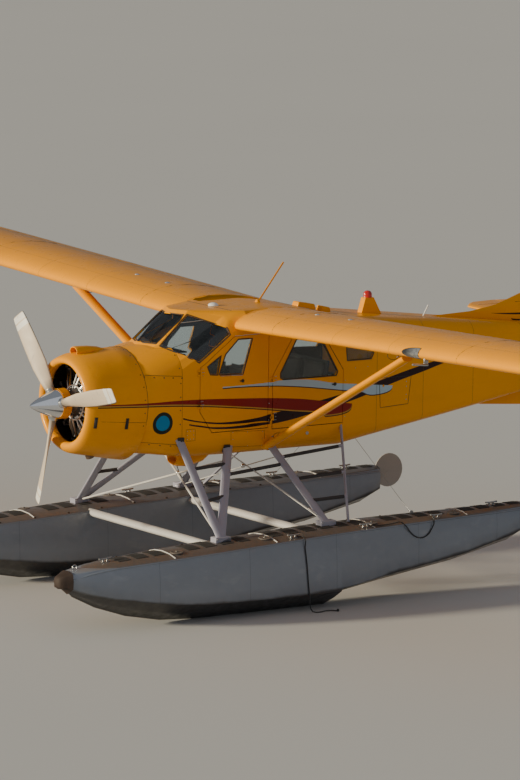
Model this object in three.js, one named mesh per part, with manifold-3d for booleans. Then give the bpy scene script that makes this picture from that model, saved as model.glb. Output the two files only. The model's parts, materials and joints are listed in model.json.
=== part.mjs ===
// A single-engined high-wing floatplane: radial engine, braced wing, twin stepped floats.
// Millimetres. X points to the nose, Y to port, Z up. Heights and stations are measured from the
// propeller's hub, and the finished group is shifted so that its origin lies on the ground,
// under the middle of its length.
import * as THREE from "three";
import { mergeVertices } from "three/addons/utils/BufferGeometryUtils.js";
import Module from "manifold-3d";

const wasm = await Module();
wasm.setup();

// Driving dimensions
const BOW_TIP = 950;
const RUDDER_TRAILING_EDGE = -8950;
const KEEL = -2415;
const GAP = 0.3;
const DOOR_GAP = 8;

const PROP_RADIUS = 1295;
const BLADE_ANGLES = [12, 132, 252];
const SPINNER = { tip: 371, rim: 0, base: -120, rimRadius: 177, radius: 184 };

const COWL = { lip: -90, rear: -880, wall: 32 };
const FIREWALL = -1366;
const CABIN_WALL = 30;
const CABIN_REAR = -4250;
const TAIL_START = CABIN_REAR - GAP;
const TAIL_END = -8200;
const TAIL_WALL = 10;
const HALF_WIDTH = 640;

const WING = {
  leading: -2100, chord: 1588, height: 852, root: HALF_WIDTH + GAP, tip: 7315,
  dihedral: THREE.MathUtils.degToRad(2.05),
  thickness: 0.16, camber: 0.04, hinge: 0.76,
};
const FLAP = { inner: 720, outer: 3780 };
const AILERON = { inner: 3800, outer: 7080 };

const TRACK_HALF = 1552;
const FRONT_FITTING = -1336;
const REAR_FITTING = -2845;
const STEP = -2830;
const STERN = -5750;

const TAILPLANE = { front: -7480, hinge: -8300, rear: -8790, height: 420, span: 2415, depth: 28, rim: 45 };
const RUDDER_HINGE = -8400;

// Colours: paint, metal, rubber and glass
const finish = (color, roughness, metalness) => ({ color, roughness, metalness });
const YELLOW = finish(0xf2a40a, 0.35, 0);
const CREAM = finish(0xd9c7a4, 0.4, 0);
const CHROME = finish(0xdfe3e8, 0.08, 1);
const ALUMINIUM = finish(0x9aa6b0, 0.45, 0.9);
const GREY_PAINT = finish(0xc3c6d4, 0.4, 0);
const STEEL = finish(0x8f9296, 0.35, 1);
const ENGINE_METAL = finish(0x35322f, 0.5, 0.8);
const RUBBER = finish(0x2a2421, 0.8, 0);
const GLASS = finish(0x9fb8c8, 0.05, 0);
const LEATHER = finish(0x3d3b3a, 0.7, 0);
const PANEL_BLACK = finish(0x1d1d1f, 0.6, 0);
const RED_LAMP = finish(0xb01818, 0.25, 0);

const aircraft = new THREE.Group();

function addMesh(name, geometry, look) {
  const mesh = new THREE.Mesh(geometry, new THREE.MeshStandardMaterial(look));
  mesh.name = name;
  aircraft.add(mesh);
}

// Solids: closed meshes in, closed meshes out
function solid(geometry) {
  const bare = geometry.clone();
  bare.deleteAttribute("normal");
  bare.deleteAttribute("uv");
  const merged = outward(mergeVertices(bare, 1e-3));
  return new wasm.Manifold(new wasm.Mesh({
    numProp: 3,
    vertProperties: new Float32Array(merged.attributes.position.array),
    triVerts: new Uint32Array(merged.index.array),
  }));
}

function surface(manifold) {
  const mesh = manifold.getMesh();
  const geometry = new THREE.BufferGeometry();
  geometry.setAttribute("position", new THREE.BufferAttribute(new Float32Array(mesh.vertProperties), 3));
  geometry.setIndex(new THREE.BufferAttribute(new Uint32Array(mesh.triVerts), 1));
  return geometry;
}

const join = (...geometries) => geometries.map(solid).reduce((sum, piece) => sum.add(piece));
const cut = (body, ...tools) => tools.reduce((rest, tool) => rest.subtract(tool), body);

function mirrored(geometry) {
  const copy = geometry.clone();
  copy.applyMatrix4(new THREE.Matrix4().makeScale(1, -1, 1));
  const index = copy.index.array;
  for (let i = 0; i < index.length; i += 3) {
    [index[i], index[i + 1]] = [index[i + 1], index[i]];
  }
  return copy;
}

function addPair(name, geometry, look) {
  const indexed = geometry.index ? geometry : surface(solid(geometry));
  addMesh(`${name}_port`, indexed, look);
  addMesh(`${name}_starboard`, mirrored(indexed), look);
}

// A body through a row of rings with like numbers of points, closed by flat ends
function loft(rings) {
  const count = rings[0].length;
  const positions = rings.flat().flatMap((point) => [point.x, point.y, point.z]);
  const middles = [rings[0], rings[rings.length - 1]].map((ring) => {
    const sum = ring.reduce((total, point) => total.add(point), new THREE.Vector3());
    return sum.divideScalar(count);
  });
  middles.forEach((point) => positions.push(point.x, point.y, point.z));
  const last = (rings.length - 1) * count;
  const first = rings.length * count;
  const index = [];
  for (let i = 0; i < count; i += 1) {
    const next = (i + 1) % count;
    for (let r = 0; r < rings.length - 1; r += 1) {
      const a = r * count + i;
      const b = r * count + next;
      index.push(a, b, a + count, b, b + count, a + count);
    }
    index.push(first, next, i);
    index.push(first + 1, last + i, last + next);
  }
  const geometry = new THREE.BufferGeometry();
  geometry.setAttribute("position", new THREE.Float32BufferAttribute(positions, 3));
  geometry.setIndex(index);
  return outward(geometry);
}

function outward(geometry) {
  const { array } = geometry.attributes.position;
  const index = geometry.index.array;
  const corner = (i) => new THREE.Vector3().fromArray(array, index[i] * 3);
  let volume = 0;
  for (let i = 0; i < index.length; i += 3) {
    volume += corner(i).dot(corner(i + 1).cross(corner(i + 2)));
  }
  if (volume < 0) {
    for (let i = 0; i < index.length; i += 3) {
      [index[i], index[i + 1]] = [index[i + 1], index[i]];
    }
  }
  return geometry;
}

// A plate: an outline in x and z, drawn across from one y to another
function plateAcross(outline, from, to) {
  const shape = new THREE.Shape(outline.map(([x, z]) => new THREE.Vector2(x, z)));
  const geometry = new THREE.ExtrudeGeometry(shape, { depth: to - from, bevelEnabled: false });
  geometry.applyMatrix4(new THREE.Matrix4().makeRotationX(Math.PI / 2));
  geometry.translate(0, to, 0);
  return geometry;
}

// The same outline, moved inwards by a margin that is small beside its sides
function inset(outline, margin) {
  const count = outline.length;
  const area = outline.reduce((sum, [x, z], i) => {
    const [nextX, nextZ] = outline[(i + 1) % count];
    return sum + x * nextZ - nextX * z;
  }, 0);
  const side = Math.sign(area) * margin;
  const edge = ([x, z], [nextX, nextZ]) => {
    const length = Math.hypot(nextX - x, nextZ - z);
    return { x: x - (side * (nextZ - z)) / length, z: z + (side * (nextX - x)) / length,
      dx: (nextX - x) / length, dz: (nextZ - z) / length };
  };
  return outline.map((point, i) => {
    const before = edge(outline[(i + count - 1) % count], point);
    const after = edge(point, outline[(i + 1) % count]);
    const cross = before.dx * after.dz - before.dz * after.dx;
    const along = ((after.x - before.x) * after.dz - (after.z - before.z) * after.dx) / cross;
    return [before.x + before.dx * along, before.z + before.dz * along];
  });
}

// A straight bar from one point to another with a streamlined section: its long side lies fore and aft
function strut(from, to, chord, thickness, sides = 12) {
  const start = new THREE.Vector3(...from);
  const end = new THREE.Vector3(...to);
  const along = end.clone().sub(start).normalize();
  const forward = new THREE.Vector3(1, 0, 0);
  forward.addScaledVector(along, -forward.dot(along)).normalize();
  const across = along.clone().cross(forward);
  const ring = (centre) => Array.from({ length: sides }, (_, i) => {
    const angle = (i / sides) * 2 * Math.PI;
    return centre.clone()
      .addScaledVector(forward, (Math.cos(angle) * chord) / 2)
      .addScaledVector(across, (Math.sin(angle) * thickness) / 2);
  });
  return loft([ring(start), ring(end)]);
}

const rod = (from, to, diameter, sides = 8) => strut(from, to, diameter, diameter, sides);

function block(x, y, z, sizeX, sizeY, sizeZ) {
  const geometry = new THREE.BoxGeometry(sizeX, sizeY, sizeZ);
  geometry.translate(x, y, z);
  return geometry;
}

// A turned body about the line through the hub: points of station and radius
function turned(points, sides) {
  const profile = points.map(([station, radius]) => new THREE.Vector2(radius, station));
  const geometry = new THREE.LatheGeometry(profile, sides);
  geometry.rotateZ(-Math.PI / 2);
  return geometry;
}

// Fuselage: rounded boxes whose corners have a radius below and above
const FUSELAGE_ROWS = [
  // x, half width, bottom, top, bottom radius, top radius
  [FIREWALL, 640, -668, 645, 200, 370],
  [-1610, 640, -680, 720, 150, 270],
  [-2061, 640, -690, 1000, 150, 238],
  [-2250, 640, -690, 1035, 150, 232],
  [-2860, 640, -690, 1040, 150, 232],
  [-3300, 640, -692, 985, 150, 190],
  [-3700, 640, -694, 885, 140, 150],
  [CABIN_REAR, 578, -622, 828, 130, 170],
  [-5470, 424, -474, 700, 110, 190],
  [-6800, 250, -305, 560, 90, 150],
  [TAIL_END, 66, -110, 412, 50, 60],
];

function fuselageRow(station) {
  const found = FUSELAGE_ROWS.findIndex((row) => row[0] <= station);
  if (found === 0 || found === -1) {
    return [station, ...FUSELAGE_ROWS.at(found).slice(1)];
  }
  const [front, rear] = [FUSELAGE_ROWS[found - 1], FUSELAGE_ROWS[found]];
  const share = (front[0] - station) / (front[0] - rear[0]);
  return front.map((value, i) => value + (rear[i] - value) * share);
}

const CORNER_STEPS = 5;

function roundedRing([x, half, bottom, top, low, high], margin = 0) {
  const arc = (y, z, radius, startAngle) => Array.from({ length: CORNER_STEPS + 1 }, (_, i) => {
    const angle = startAngle - (i / CORNER_STEPS) * (Math.PI / 2);
    return new THREE.Vector3(x, y + radius * Math.cos(angle), z + radius * Math.sin(angle));
  });
  const high1 = Math.max(high - margin, 5);
  const low1 = Math.max(low - margin, 5);
  const port = [
    ...arc(half - margin - high1, top - margin - high1, high1, Math.PI / 2),
    ...arc(half - margin - low1, bottom + margin + low1, low1, 0),
  ];
  const starboard = port.map((point) => new THREE.Vector3(point.x, -point.y, point.z)).reverse();
  return [...port, ...starboard];
}

function fuselage(front, rear, margin = 0, floor = null) {
  const between = FUSELAGE_ROWS.map((row) => row[0]).filter((x) => x < front && x > rear);
  const rows = [front, ...between, rear].map(fuselageRow);
  rows.forEach((row) => {
    if (floor !== null) {
      row[2] = Math.max(row[2], floor - margin);
    }
  });
  return loft(rows.map((row) => roundedRing(row, margin)));
}

// The greenhouse: a box over the cowl deck, trimmed by the planes of its panes
const WINDSCREEN = { foot: [-1083, 0, 631], top: [-1556, 0, 1007], corner: [-1230, 270, 655] };
const SIDE_PANE = { front: [-1222, 272, 668], low: [-1603, 642, 462], rear: [-2054, 642, 775] };
const DECK = { front: [-1083, 0, 598], side: [-1083, 100, 598], rear: [-1610, 0, 420] };

const vector = (point) => new THREE.Vector3(...point);
const opposite = ([x, y, z]) => [x, -y, z];

// The half space beyond the plane through three points, on the side away from the given middle
function beyond(a, b, c, margin, middle = [-1900, 0, 500]) {
  const normal = vector(b).sub(vector(a)).cross(vector(c).sub(vector(a))).normalize();
  if (normal.dot(vector(middle).sub(vector(a))) > 0) {
    normal.negate();
  }
  const reach = 3000;
  const geometry = new THREE.BoxGeometry(reach, reach, reach);
  geometry.translate(0, 0, reach / 2);
  geometry.applyQuaternion(new THREE.Quaternion().setFromUnitVectors(new THREE.Vector3(0, 0, 1), normal));
  const origin = vector(a).addScaledVector(normal, -margin);
  geometry.translate(origin.x, origin.y, origin.z);
  return solid(geometry);
}

function greenhouse(margin = 0) {
  const half = HALF_WIDTH - margin;
  const roof = 1035 - margin;
  const box = block(-1640, 0, (roof + 300) / 2, 1300, half * 2, roof - 300);
  const { foot, top, corner } = WINDSCREEN;
  const { front, low, rear } = SIDE_PANE;
  return cut(
    solid(box),
    beyond(foot, top, corner, margin),
    beyond(foot, top, opposite(corner), margin),
    beyond(front, low, rear, margin),
    beyond(opposite(front), opposite(low), opposite(rear), margin),
    beyond(DECK.front, DECK.side, DECK.rear, margin),
  );
}

const FLOOR = -520;
const cabinOuter = solid(fuselage(FIREWALL, CABIN_REAR)).add(greenhouse());
const cabinInner = solid(fuselage(FIREWALL - CABIN_WALL, CABIN_REAR + CABIN_WALL, CABIN_WALL, FLOOR))
  .add(greenhouse(CABIN_WALL));
// The cabin's outside with a little air round it: what rests on the cabin is cut by this
const skin = solid(fuselage(FIREWALL + GAP, CABIN_REAR - GAP, -GAP)).add(greenhouse(-GAP));

// Glass lies in a thin shell a little inside the skin
const GLASS_DEPTH = 8;
const GLASS_THICKNESS = 6;
const glassShell = solid(fuselage(FIREWALL, CABIN_REAR, GLASS_DEPTH))
  .add(greenhouse(GLASS_DEPTH))
  .subtract(solid(fuselage(FIREWALL + 50, CABIN_REAR - 50, GLASS_DEPTH + GLASS_THICKNESS))
    .add(greenhouse(GLASS_DEPTH + GLASS_THICKNESS)));

// Openings in the cabin's side, in x and z
const SIDE_PANE_OUTLINE = [[-1262, 648], [-1610, 470], [-2035, 770], [-2010, 850], [-1672, 985]];
const REAR_WINDOW_OUTLINE = [[-3757, 500], [-3775, 342], [-4142, 336], [-4180, 400], [-4150, 500]];
const COCKPIT_DOOR = [
  [-1625, -130], [-1625, 400], [-1672, 424], [-2112, 745], [-2600, 752], [-2600, -390], [-1800, -390],
];
const CABIN_DOOR = [
  [-2672, -410], [-2672, 235], [-3000, 748], [-3350, 748], [-3700, 235], [-3700, -410],
];
const COCKPIT_WINDOW = [[-1897, 306], [-1991, 538], [-2160, 700], [-2357, 700], [-2231, 293]];
const QUARTER_WINDOW = [[-1732, 405], [-1910, 520], [-1866, 306], [-1774, 316]];
const CABIN_WINDOW = [
  [-2790, 205], [-2790, 260], [-3010, 640], [-3060, 665], [-3310, 665], [-3360, 640],
  [-3612, 225], [-3590, 175], [-2830, 180],
];

const across = (outline, reach = 900) => solid(plateAcross(outline, -reach, reach));
const portSide = (outline) => solid(plateAcross(outline, 200, 900));

// The windscreen's opening: both panes seen along the line of flight
const WINDSCREEN_OPENING = [[-245, 672], [-245, 920], [-225, 985], [225, 985], [245, 920], [245, 672]];
function windscreenTool(margin) {
  const shape = new THREE.Shape(inset(WINDSCREEN_OPENING, margin).map(([y, z]) => new THREE.Vector2(y, z)));
  const geometry = new THREE.ExtrudeGeometry(shape, { depth: 700, bevelEnabled: false });
  geometry.rotateX(Math.PI / 2);
  geometry.rotateZ(Math.PI / 2);
  geometry.translate(-1700, 0, 0);
  return solid(geometry);
}

// Door hinges: a knuckle on the door between two on the cabin, their line just outside the skin
const DOOR_HINGE = { y: 658, radius: 12, leaf: 42, knuckle: 30 };
const COCKPIT_HINGES = { x: -1621, heights: [340, -50] };
const CABIN_HINGES = { x: -2668, heights: [180, -270] };

function knuckle(x, low, high, side) {
  const { y, radius, leaf } = DOOR_HINGE;
  const plate = block(x + (side * leaf) / 2, (638 + y) / 2, (low + high) / 2, leaf, y - 638, high - low);
  return join(rod([x, y, low], [x, y, high], radius * 2, 12), plate);
}

function doorKnuckles({ x, heights }) {
  const half = DOOR_HINGE.knuckle / 2;
  return heights.map((z) => knuckle(x, z - half, z + half, -1)).reduce((sum, piece) => sum.add(piece));
}

function frameKnuckles({ x, heights }) {
  const half = DOOR_HINGE.knuckle / 2;
  const pieces = heights.flatMap((z) => [
    knuckle(x, z + half + GAP, z + half + 22, 1), knuckle(x, z - half - 22, z - half - GAP, 1)]);
  const port = pieces.reduce((sum, piece) => sum.add(piece));
  return port.add(solid(mirrored(surface(port))));
}

const shell = cut(
  cabinOuter,
  cabinInner,
  across(inset(COCKPIT_DOOR, -DOOR_GAP)),
  across(inset(CABIN_DOOR, -DOOR_GAP)),
  across(SIDE_PANE_OUTLINE),
  across(REAR_WINDOW_OUTLINE),
  windscreenTool(0),
).add(frameKnuckles(COCKPIT_HINGES)).add(frameKnuckles(CABIN_HINGES));
addMesh("cabin_shell", surface(shell), YELLOW);
addMesh("windscreen", surface(glassShell.intersect(windscreenTool(GAP))), GLASS);
addPair("side_pane", surface(glassShell.intersect(portSide(inset(SIDE_PANE_OUTLINE, GAP)))), GLASS);
addPair("rear_window", surface(glassShell.intersect(portSide(inset(REAR_WINDOW_OUTLINE, GAP)))), GLASS);

// Doors: the same wall, cut loose, with their windows
const wall = cabinOuter.subtract(cabinInner);
const cockpitDoor = cut(
  wall.intersect(portSide(COCKPIT_DOOR)),
  portSide(COCKPIT_WINDOW),
  portSide(QUARTER_WINDOW),
);
addPair("cockpit_door", surface(cockpitDoor.add(doorKnuckles(COCKPIT_HINGES))), YELLOW);
addPair("cockpit_door_window", surface(glassShell.intersect(portSide(inset(COCKPIT_WINDOW, GAP)))), GLASS);
addPair("quarter_window", surface(glassShell.intersect(portSide(inset(QUARTER_WINDOW, GAP)))), GLASS);
const cabinDoor = wall.intersect(portSide(CABIN_DOOR)).subtract(portSide(CABIN_WINDOW));
addPair("cabin_door", surface(cabinDoor.add(doorKnuckles(CABIN_HINGES))), YELLOW);
addPair("cabin_door_window", surface(glassShell.intersect(portSide(inset(CABIN_WINDOW, GAP)))), GLASS);

// Tail cone: a shell open towards the cabin's rear wall
const tailPlate = (outline, half) => loft([
  outline.map(([x, y]) => new THREE.Vector3(x, y, TAILPLANE.height - half)),
  outline.map(([x, y]) => new THREE.Vector3(x, y, TAILPLANE.height + half)),
]);
const { front: tailFront, hinge: tailHinge, rear: tailRear, span: tailSpan } = TAILPLANE;
const TAILPLANE_HALF = [
  [tailFront, 0], [tailFront - 60, 700], [tailFront - 150, tailSpan - 260], [tailFront - 330, tailSpan - 60],
  [tailHinge + 42, tailSpan],
];
const bothSides = (half) => [...half, ...half.slice(1).reverse().map(([x, y]) => [x, -y])];
const tailplaneSolid = (margin) => solid(loft(
  [[-1, TAILPLANE.rim], [-0.3, 0], [0.3, 0], [1, TAILPLANE.rim]].map(([level, rim]) => (
    inset(bothSides(TAILPLANE_HALF), rim - margin).map(([x, y]) => (
      new THREE.Vector3(x, y, TAILPLANE.height + level * (TAILPLANE.depth + margin))))))));
const tailClear = tailplaneSolid(GAP);
const tailSaddle = solid(block(
  tailFront - 400 + GAP, 0, TAILPLANE.height - TAILPLANE.depth - GAP + 300, 800, 600, 600));
const tailCone = solid(fuselage(TAIL_START, TAIL_END))
  .subtract(solid(fuselage(TAIL_START + 10, TAIL_END + 700, TAIL_WALL)))
  .subtract(tailSaddle);
addMesh("tail_cone", surface(tailCone), YELLOW);

// Engine cowl: a ring with a rolled lip, then the accessory panels back to the firewall
const COWL_ROWS = [
  // x, half width, top, bottom: the lower rear edge stands out, where the cooling air leaves
  [COWL.lip, 515, 515, 515], [-96, 535, 534, 538], [-110, 551, 548, 558], [-130, 564, 559, 579],
  [-170, 580, 574, 598], [-230, 597, 590, 614], [-340, 612, 600, 636], [-500, 626, 610, 668],
  [-700, 637, 619, 706], [COWL.rear, 643, 629, 735],
];
const COWL_INSIDE = [
  // x, half width, top, bottom, from ahead of the lip through the throat
  [-80, 516, 516, 516], [-90, 503, 503, 503], [-100, 486, 486, 486], [-125, 470, 470, 470],
  [-165, 463, 463, 463], [-210, 474, 474, 474], [-300, 574, 568, 590],
  ...COWL_ROWS.slice(-4).map(([x, ...sizes]) => [x, ...sizes.map((size) => size - COWL.wall)]),
  [COWL.rear - 20, 643 - COWL.wall, 629 - COWL.wall, 739 - COWL.wall],
];

function cowlRing([x, half, top, bottom], margin = 0) {
  return Array.from({ length: 40 }, (_, i) => {
    const angle = (i / 40) * 2 * Math.PI;
    const level = Math.cos(angle);
    const reach = (level > 0 ? top : bottom) + margin;
    return new THREE.Vector3(x, (half + margin) * Math.sin(angle), reach * level);
  });
}
const cowlFilled = (margin) => solid(loft(COWL_ROWS.map((row) => cowlRing(row, margin))));
const cowlHollow = solid(loft(COWL_INSIDE.map((row) => cowlRing(row))));
addMesh("nose_cowl", surface(cowlFilled(0).subtract(cowlHollow)), YELLOW);

const ACCESSORY_ROWS = [
  // x, half width, bottom, top, bottom radius, top radius
  [COWL.rear - GAP, 638, -650, 626, 636, 636],
  [-1120, 640, -655, 643, 420, 500],
  [FIREWALL + GAP, 640, -668, 645, 200, 370],
];
const accessory = loft(ACCESSORY_ROWS.map((row) => roundedRing(row)));
const accessoryHollow = loft([
  roundedRing([COWL.rear + 20, 636, -648, 624, 634, 634], COWL.wall),
  roundedRing(ACCESSORY_ROWS[1], COWL.wall),
  roundedRing([FIREWALL - 20, ...ACCESSORY_ROWS[2].slice(1)], COWL.wall),
]);
addMesh("accessory_cowl", surface(cut(solid(accessory), solid(accessoryHollow), skin)), YELLOW);
const accessorySkin = solid(loft(ACCESSORY_ROWS.map((row) => roundedRing(row, -GAP))));

// Engine: nose case, crankcase and nine finned cylinders with their rocker boxes and push rods
const ENGINE = { front: -180, plane: -500, rear: -680, back: -1060, case: 255, head: 558, cylinders: 9 };
const FINS = { count: 4, first: 300, pitch: 56, core: 74, radius: 98 };

function engineCylinder(angle) {
  const profile = [[0, 200]];
  for (let i = 0; i < FINS.count; i += 1) {
    const base = FINS.first + i * FINS.pitch;
    profile.push([FINS.core, base], [FINS.radius, base + 8], [FINS.radius, base + 34]);
  }
  profile.push([84, ENGINE.head], [0, ENGINE.head]);
  const barrel = new THREE.LatheGeometry(profile.map(([r, h]) => new THREE.Vector2(r, h)), 8);
  const boxes = [-1, 1].map((side) => block(66, ENGINE.head - 26, side * 58, 90, 62, 52));
  const rods = [-1, 1].map((side) => rod([250, 165, side * 22], [92, ENGINE.head - 40, side * 56], 20, 5));
  const piece = join(barrel, ...boxes, ...rods);
  const geometry = surface(piece);
  geometry.rotateX(angle);
  geometry.translate(ENGINE.plane, 0, 0);
  return solid(geometry);
}

const HUB_REAR = -140;
const crankcase = turned([
  [HUB_REAR - GAP, 0], [HUB_REAR - GAP, 44], [ENGINE.front, 44], [ENGINE.front, 88], [ENGINE.front - 60, 100],
  [ENGINE.front - 80, 165], [ENGINE.front - 140, 215], [ENGINE.plane + 110, ENGINE.case],
  [ENGINE.rear, ENGINE.case], [ENGINE.rear, 210], [ENGINE.back, 195], [ENGINE.back, 0],
], 24);
let engine = solid(crankcase);
for (let i = 0; i < ENGINE.cylinders; i += 1) {
  engine = engine.add(engineCylinder(Math.PI / 2 + (i / ENGINE.cylinders) * 2 * Math.PI));
}
// The mount: four tubes back to the firewall
for (const [y, z] of [[1, 1], [1, -1], [-1, 1], [-1, -1]]) {
  const tube = rod([ENGINE.rear + 30, y * 170, z * 170], [FIREWALL + GAP, y * 330, z * 330], 34, 8);
  engine = engine.add(solid(tube));
}
addMesh("engine", surface(cut(engine, skin)), ENGINE_METAL);
addMesh("oil_tank", block(FIREWALL + GAP + 105, 0, 10, 210, 440, 420), STEEL);

// Propeller: three twisted blades on a hub, with a pointed spinner over it
const BLADE_ROWS = [
  // radius, chord, thickness, pitch in degrees
  [60, 96, 96, 50],
  [190, 104, 92, 48],
  [330, 150, 62, 42],
  [560, 205, 40, 33],
  [850, 215, 26, 25],
  [1120, 204, 17, 20],
  [1240, 190, 12, 18],
  [1284, 176, 9, 18],
  [PROP_RADIUS, 150, 8, 18],
];

function blade(angleDegrees) {
  const angle = THREE.MathUtils.degToRad(angleDegrees);
  const outwards = new THREE.Vector3(0, Math.cos(angle), Math.sin(angle));
  const motion = new THREE.Vector3(0, -Math.sin(angle), Math.cos(angle));
  const rings = BLADE_ROWS.map(([radius, chord, thickness, pitchDegrees]) => {
    const pitch = THREE.MathUtils.degToRad(pitchDegrees);
    const chordLine = motion.clone().multiplyScalar(Math.cos(pitch))
      .add(new THREE.Vector3(Math.sin(pitch), 0, 0));
    const face = outwards.clone().cross(chordLine);
    return Array.from({ length: 10 }, (_, i) => {
      const turn = (i / 10) * 2 * Math.PI;
      return outwards.clone().multiplyScalar(radius)
        .addScaledVector(chordLine, (Math.cos(turn) * chord) / 2)
        .addScaledVector(face, (Math.sin(turn) * thickness) / 2);
    });
  });
  return loft(rings);
}

const HUB_RADIUS = 78;
const hub = turned([[HUB_REAR, 0], [HUB_REAR, HUB_RADIUS], [60, HUB_RADIUS], [60, 0]], 20);
addMesh("propeller", surface(join(hub, ...BLADE_ANGLES.map(blade))), CREAM);

const spinnerProfile = Array.from({ length: 8 }, (_, i) => {
  const share = i / 7;
  return [SPINNER.tip + (SPINNER.rim - SPINNER.tip) * share, SPINNER.rimRadius * share ** 0.78];
});
const spinnerHollow = [
  [100, 0], [100, 88], [SPINNER.base + 14, 146], [SPINNER.base + 14, HUB_RADIUS + 2 * GAP],
  [SPINNER.base - 10, HUB_RADIUS + 2 * GAP], [SPINNER.base - 10, 0],
];
const spinner = solid(turned([...spinnerProfile, [SPINNER.base, SPINNER.radius], [SPINNER.base, 0]], 24))
  .subtract(solid(turned(spinnerHollow, 20)));
const bladeHoles = BLADE_ANGLES.map((degrees) => {
  const angle = THREE.MathUtils.degToRad(degrees);
  return solid(rod([0, 0, 0], [0, Math.cos(angle) * 400, Math.sin(angle) * 400], 128, 12));
});
addMesh("spinner", surface(cut(spinner, ...bladeHoles)), CHROME);

// Wings: one section all the way, with bays for flap and aileron
function airfoilHalf(share) {
  const t = WING.thickness;
  const half = 5 * t * (0.2969 * Math.sqrt(share) - 0.126 * share - 0.3516 * share ** 2
    + 0.2843 * share ** 3 - 0.1036 * share ** 4);
  const p = 0.4;
  const camber = share < p
    ? (WING.camber / p ** 2) * (2 * p * share - share ** 2)
    : (WING.camber / (1 - p) ** 2) * (1 - 2 * p + 2 * p * share - share ** 2);
  return { upper: camber + half, lower: camber - half };
}

const AIRFOIL_SHARES = [1, 0.9, 0.76, 0.6, 0.45, 0.3, 0.18, 0.09, 0.04, 0.012];

function wingRing(y, scale = 1) {
  const height = WING.height + Math.tan(WING.dihedral) * y;
  const point = (share, value) => new THREE.Vector3(
    WING.leading - WING.chord * (0.5 + (share - 0.5) * scale), y, height + value * WING.chord * scale);
  const upper = AIRFOIL_SHARES.map((share) => point(share, airfoilHalf(share).upper));
  const lower = AIRFOIL_SHARES.map((share) => point(share, airfoilHalf(share).lower));
  return [...upper, point(0, 0), ...lower.reverse()];
}

const wingFull = solid(loft([
  wingRing(WING.root), wingRing(WING.tip - 160), wingRing(WING.tip - 60, 0.94), wingRing(WING.tip, 0.8),
]));
const hingeStation = WING.leading - WING.chord * WING.hinge;

// A hinged surface: a round nose about its hinge line, tapering to the trailing edge
function hingedRing(y, radius, tailDrop) {
  const height = hingeHeight(y);
  const nose = Array.from({ length: 7 }, (_, i) => {
    const angle = Math.PI / 2 - (i / 6) * Math.PI;
    return new THREE.Vector3(hingeStation + Math.cos(angle) * radius, y, height + Math.sin(angle) * radius);
  });
  const tail = WING.leading - WING.chord;
  return [...nose, ...[-4, 4].map((edge) => new THREE.Vector3(tail, y, height - tailDrop + edge))];
}
const hingeMiddle = (airfoilHalf(WING.hinge).upper + airfoilHalf(WING.hinge).lower) / 2;
const hingeRadius = ((airfoilHalf(WING.hinge).upper - airfoilHalf(WING.hinge).lower) / 2) * WING.chord;
const hingeHeight = (y) => WING.height + Math.tan(WING.dihedral) * y + hingeMiddle * WING.chord;
const tailDrop = hingeMiddle * WING.chord;
const BAY_GAP = 7;

function hingedSurface(inner, outer) {
  return solid(loft([hingedRing(inner, hingeRadius, tailDrop), hingedRing(outer, hingeRadius, tailDrop)]));
}

function bay(inner, outer) {
  const front = hingeStation + hingeRadius + BAY_GAP;
  const ring = (y) => [[front, 400], [front, -400], [front - 900, -400], [front - 900, 400]]
    .map(([x, z]) => new THREE.Vector3(x, y, hingeHeight(y) + z));
  return solid(loft([ring(inner), ring(outer)]));
}

// Hinges of the control surfaces: an eye on a bracket, and a pin across a notch in the surface
const PIN = { radius: 7, sides: 8, bracket: 12, height: 24, beyond: 12, notch: 26, behind: 22 };

function surfaceHinge(centre, root, line) {
  const [x, y, z] = centre;
  const upright = line[2] > line[1];
  const plate = (rear, thick, height) => block(
    (root + rear) / 2, y, z, root - rear, upright ? height : thick, upright ? thick : height);
  const end = (reach) => centre.map((value, i) => value + line[i] * reach);
  const eyeDiameter = ((PIN.radius + GAP) * 2) / Math.cos(Math.PI / PIN.sides);
  const eye = solid(rod(end(-30), end(30), eyeDiameter, PIN.sides));
  return {
    bracket: solid(plate(x - PIN.beyond, PIN.bracket, PIN.height)).subtract(eye),
    notch: solid(plate(x - PIN.behind, PIN.notch, 120)),
    pin: solid(rod(end(-20), end(20), PIN.radius * 2, PIN.sides)),
  };
}
const withPins = (body, hinges) => hinges.reduce((sum, { notch, pin }) => sum.subtract(notch).add(pin), body);
const withBrackets = (body, hinges) => hinges.reduce((sum, { bracket }) => sum.add(bracket), body);

const WING_HINGES = { flap: [1100, 3300], aileron: [4350, 6550] };
const spanLine = [0, Math.cos(WING.dihedral), Math.sin(WING.dihedral)];
const wingHinge = (y) => surfaceHinge(
  [hingeStation, y, hingeHeight(y)], hingeStation + hingeRadius + BAY_GAP + 5, spanLine);
const flapHinges = WING_HINGES.flap.map(wingHinge);
const aileronHinges = WING_HINGES.aileron.map(wingHinge);

const flapBay = bay(FLAP.inner - 10, FLAP.outer + 6);
const aileronBay = bay(AILERON.inner - 6, AILERON.outer + 8);
const wing = withBrackets(cut(wingFull, flapBay, aileronBay), [...flapHinges, ...aileronHinges]);
addPair("wing", surface(wing), YELLOW);
addPair("flap", surface(withPins(hingedSurface(FLAP.inner, FLAP.outer), flapHinges)), YELLOW);
addPair("aileron", surface(withPins(hingedSurface(AILERON.inner, AILERON.outer), aileronHinges)), YELLOW);

// Wing struts
const STRUT_FOOT = [-2624, 646, -604];
const STRUT_TOP = [-2545, 3460, 786];
const between = (a, b, share) => a.map((value, i) => value + (b[i] - value) * share);
const WING_STRUT = { chord: 150, thickness: 90 };
const wingStrut = (margin = 0) => solid(strut(
  between(STRUT_FOOT, STRUT_TOP, -0.02), between(STRUT_FOOT, STRUT_TOP, 1.035),
  WING_STRUT.chord + margin, WING_STRUT.thickness + margin, 16));
const wingStrutSkin = wingStrut(2 * GAP);
addPair("wing_strut", surface(cut(wingStrut(), wingFull, skin)), YELLOW);

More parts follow.
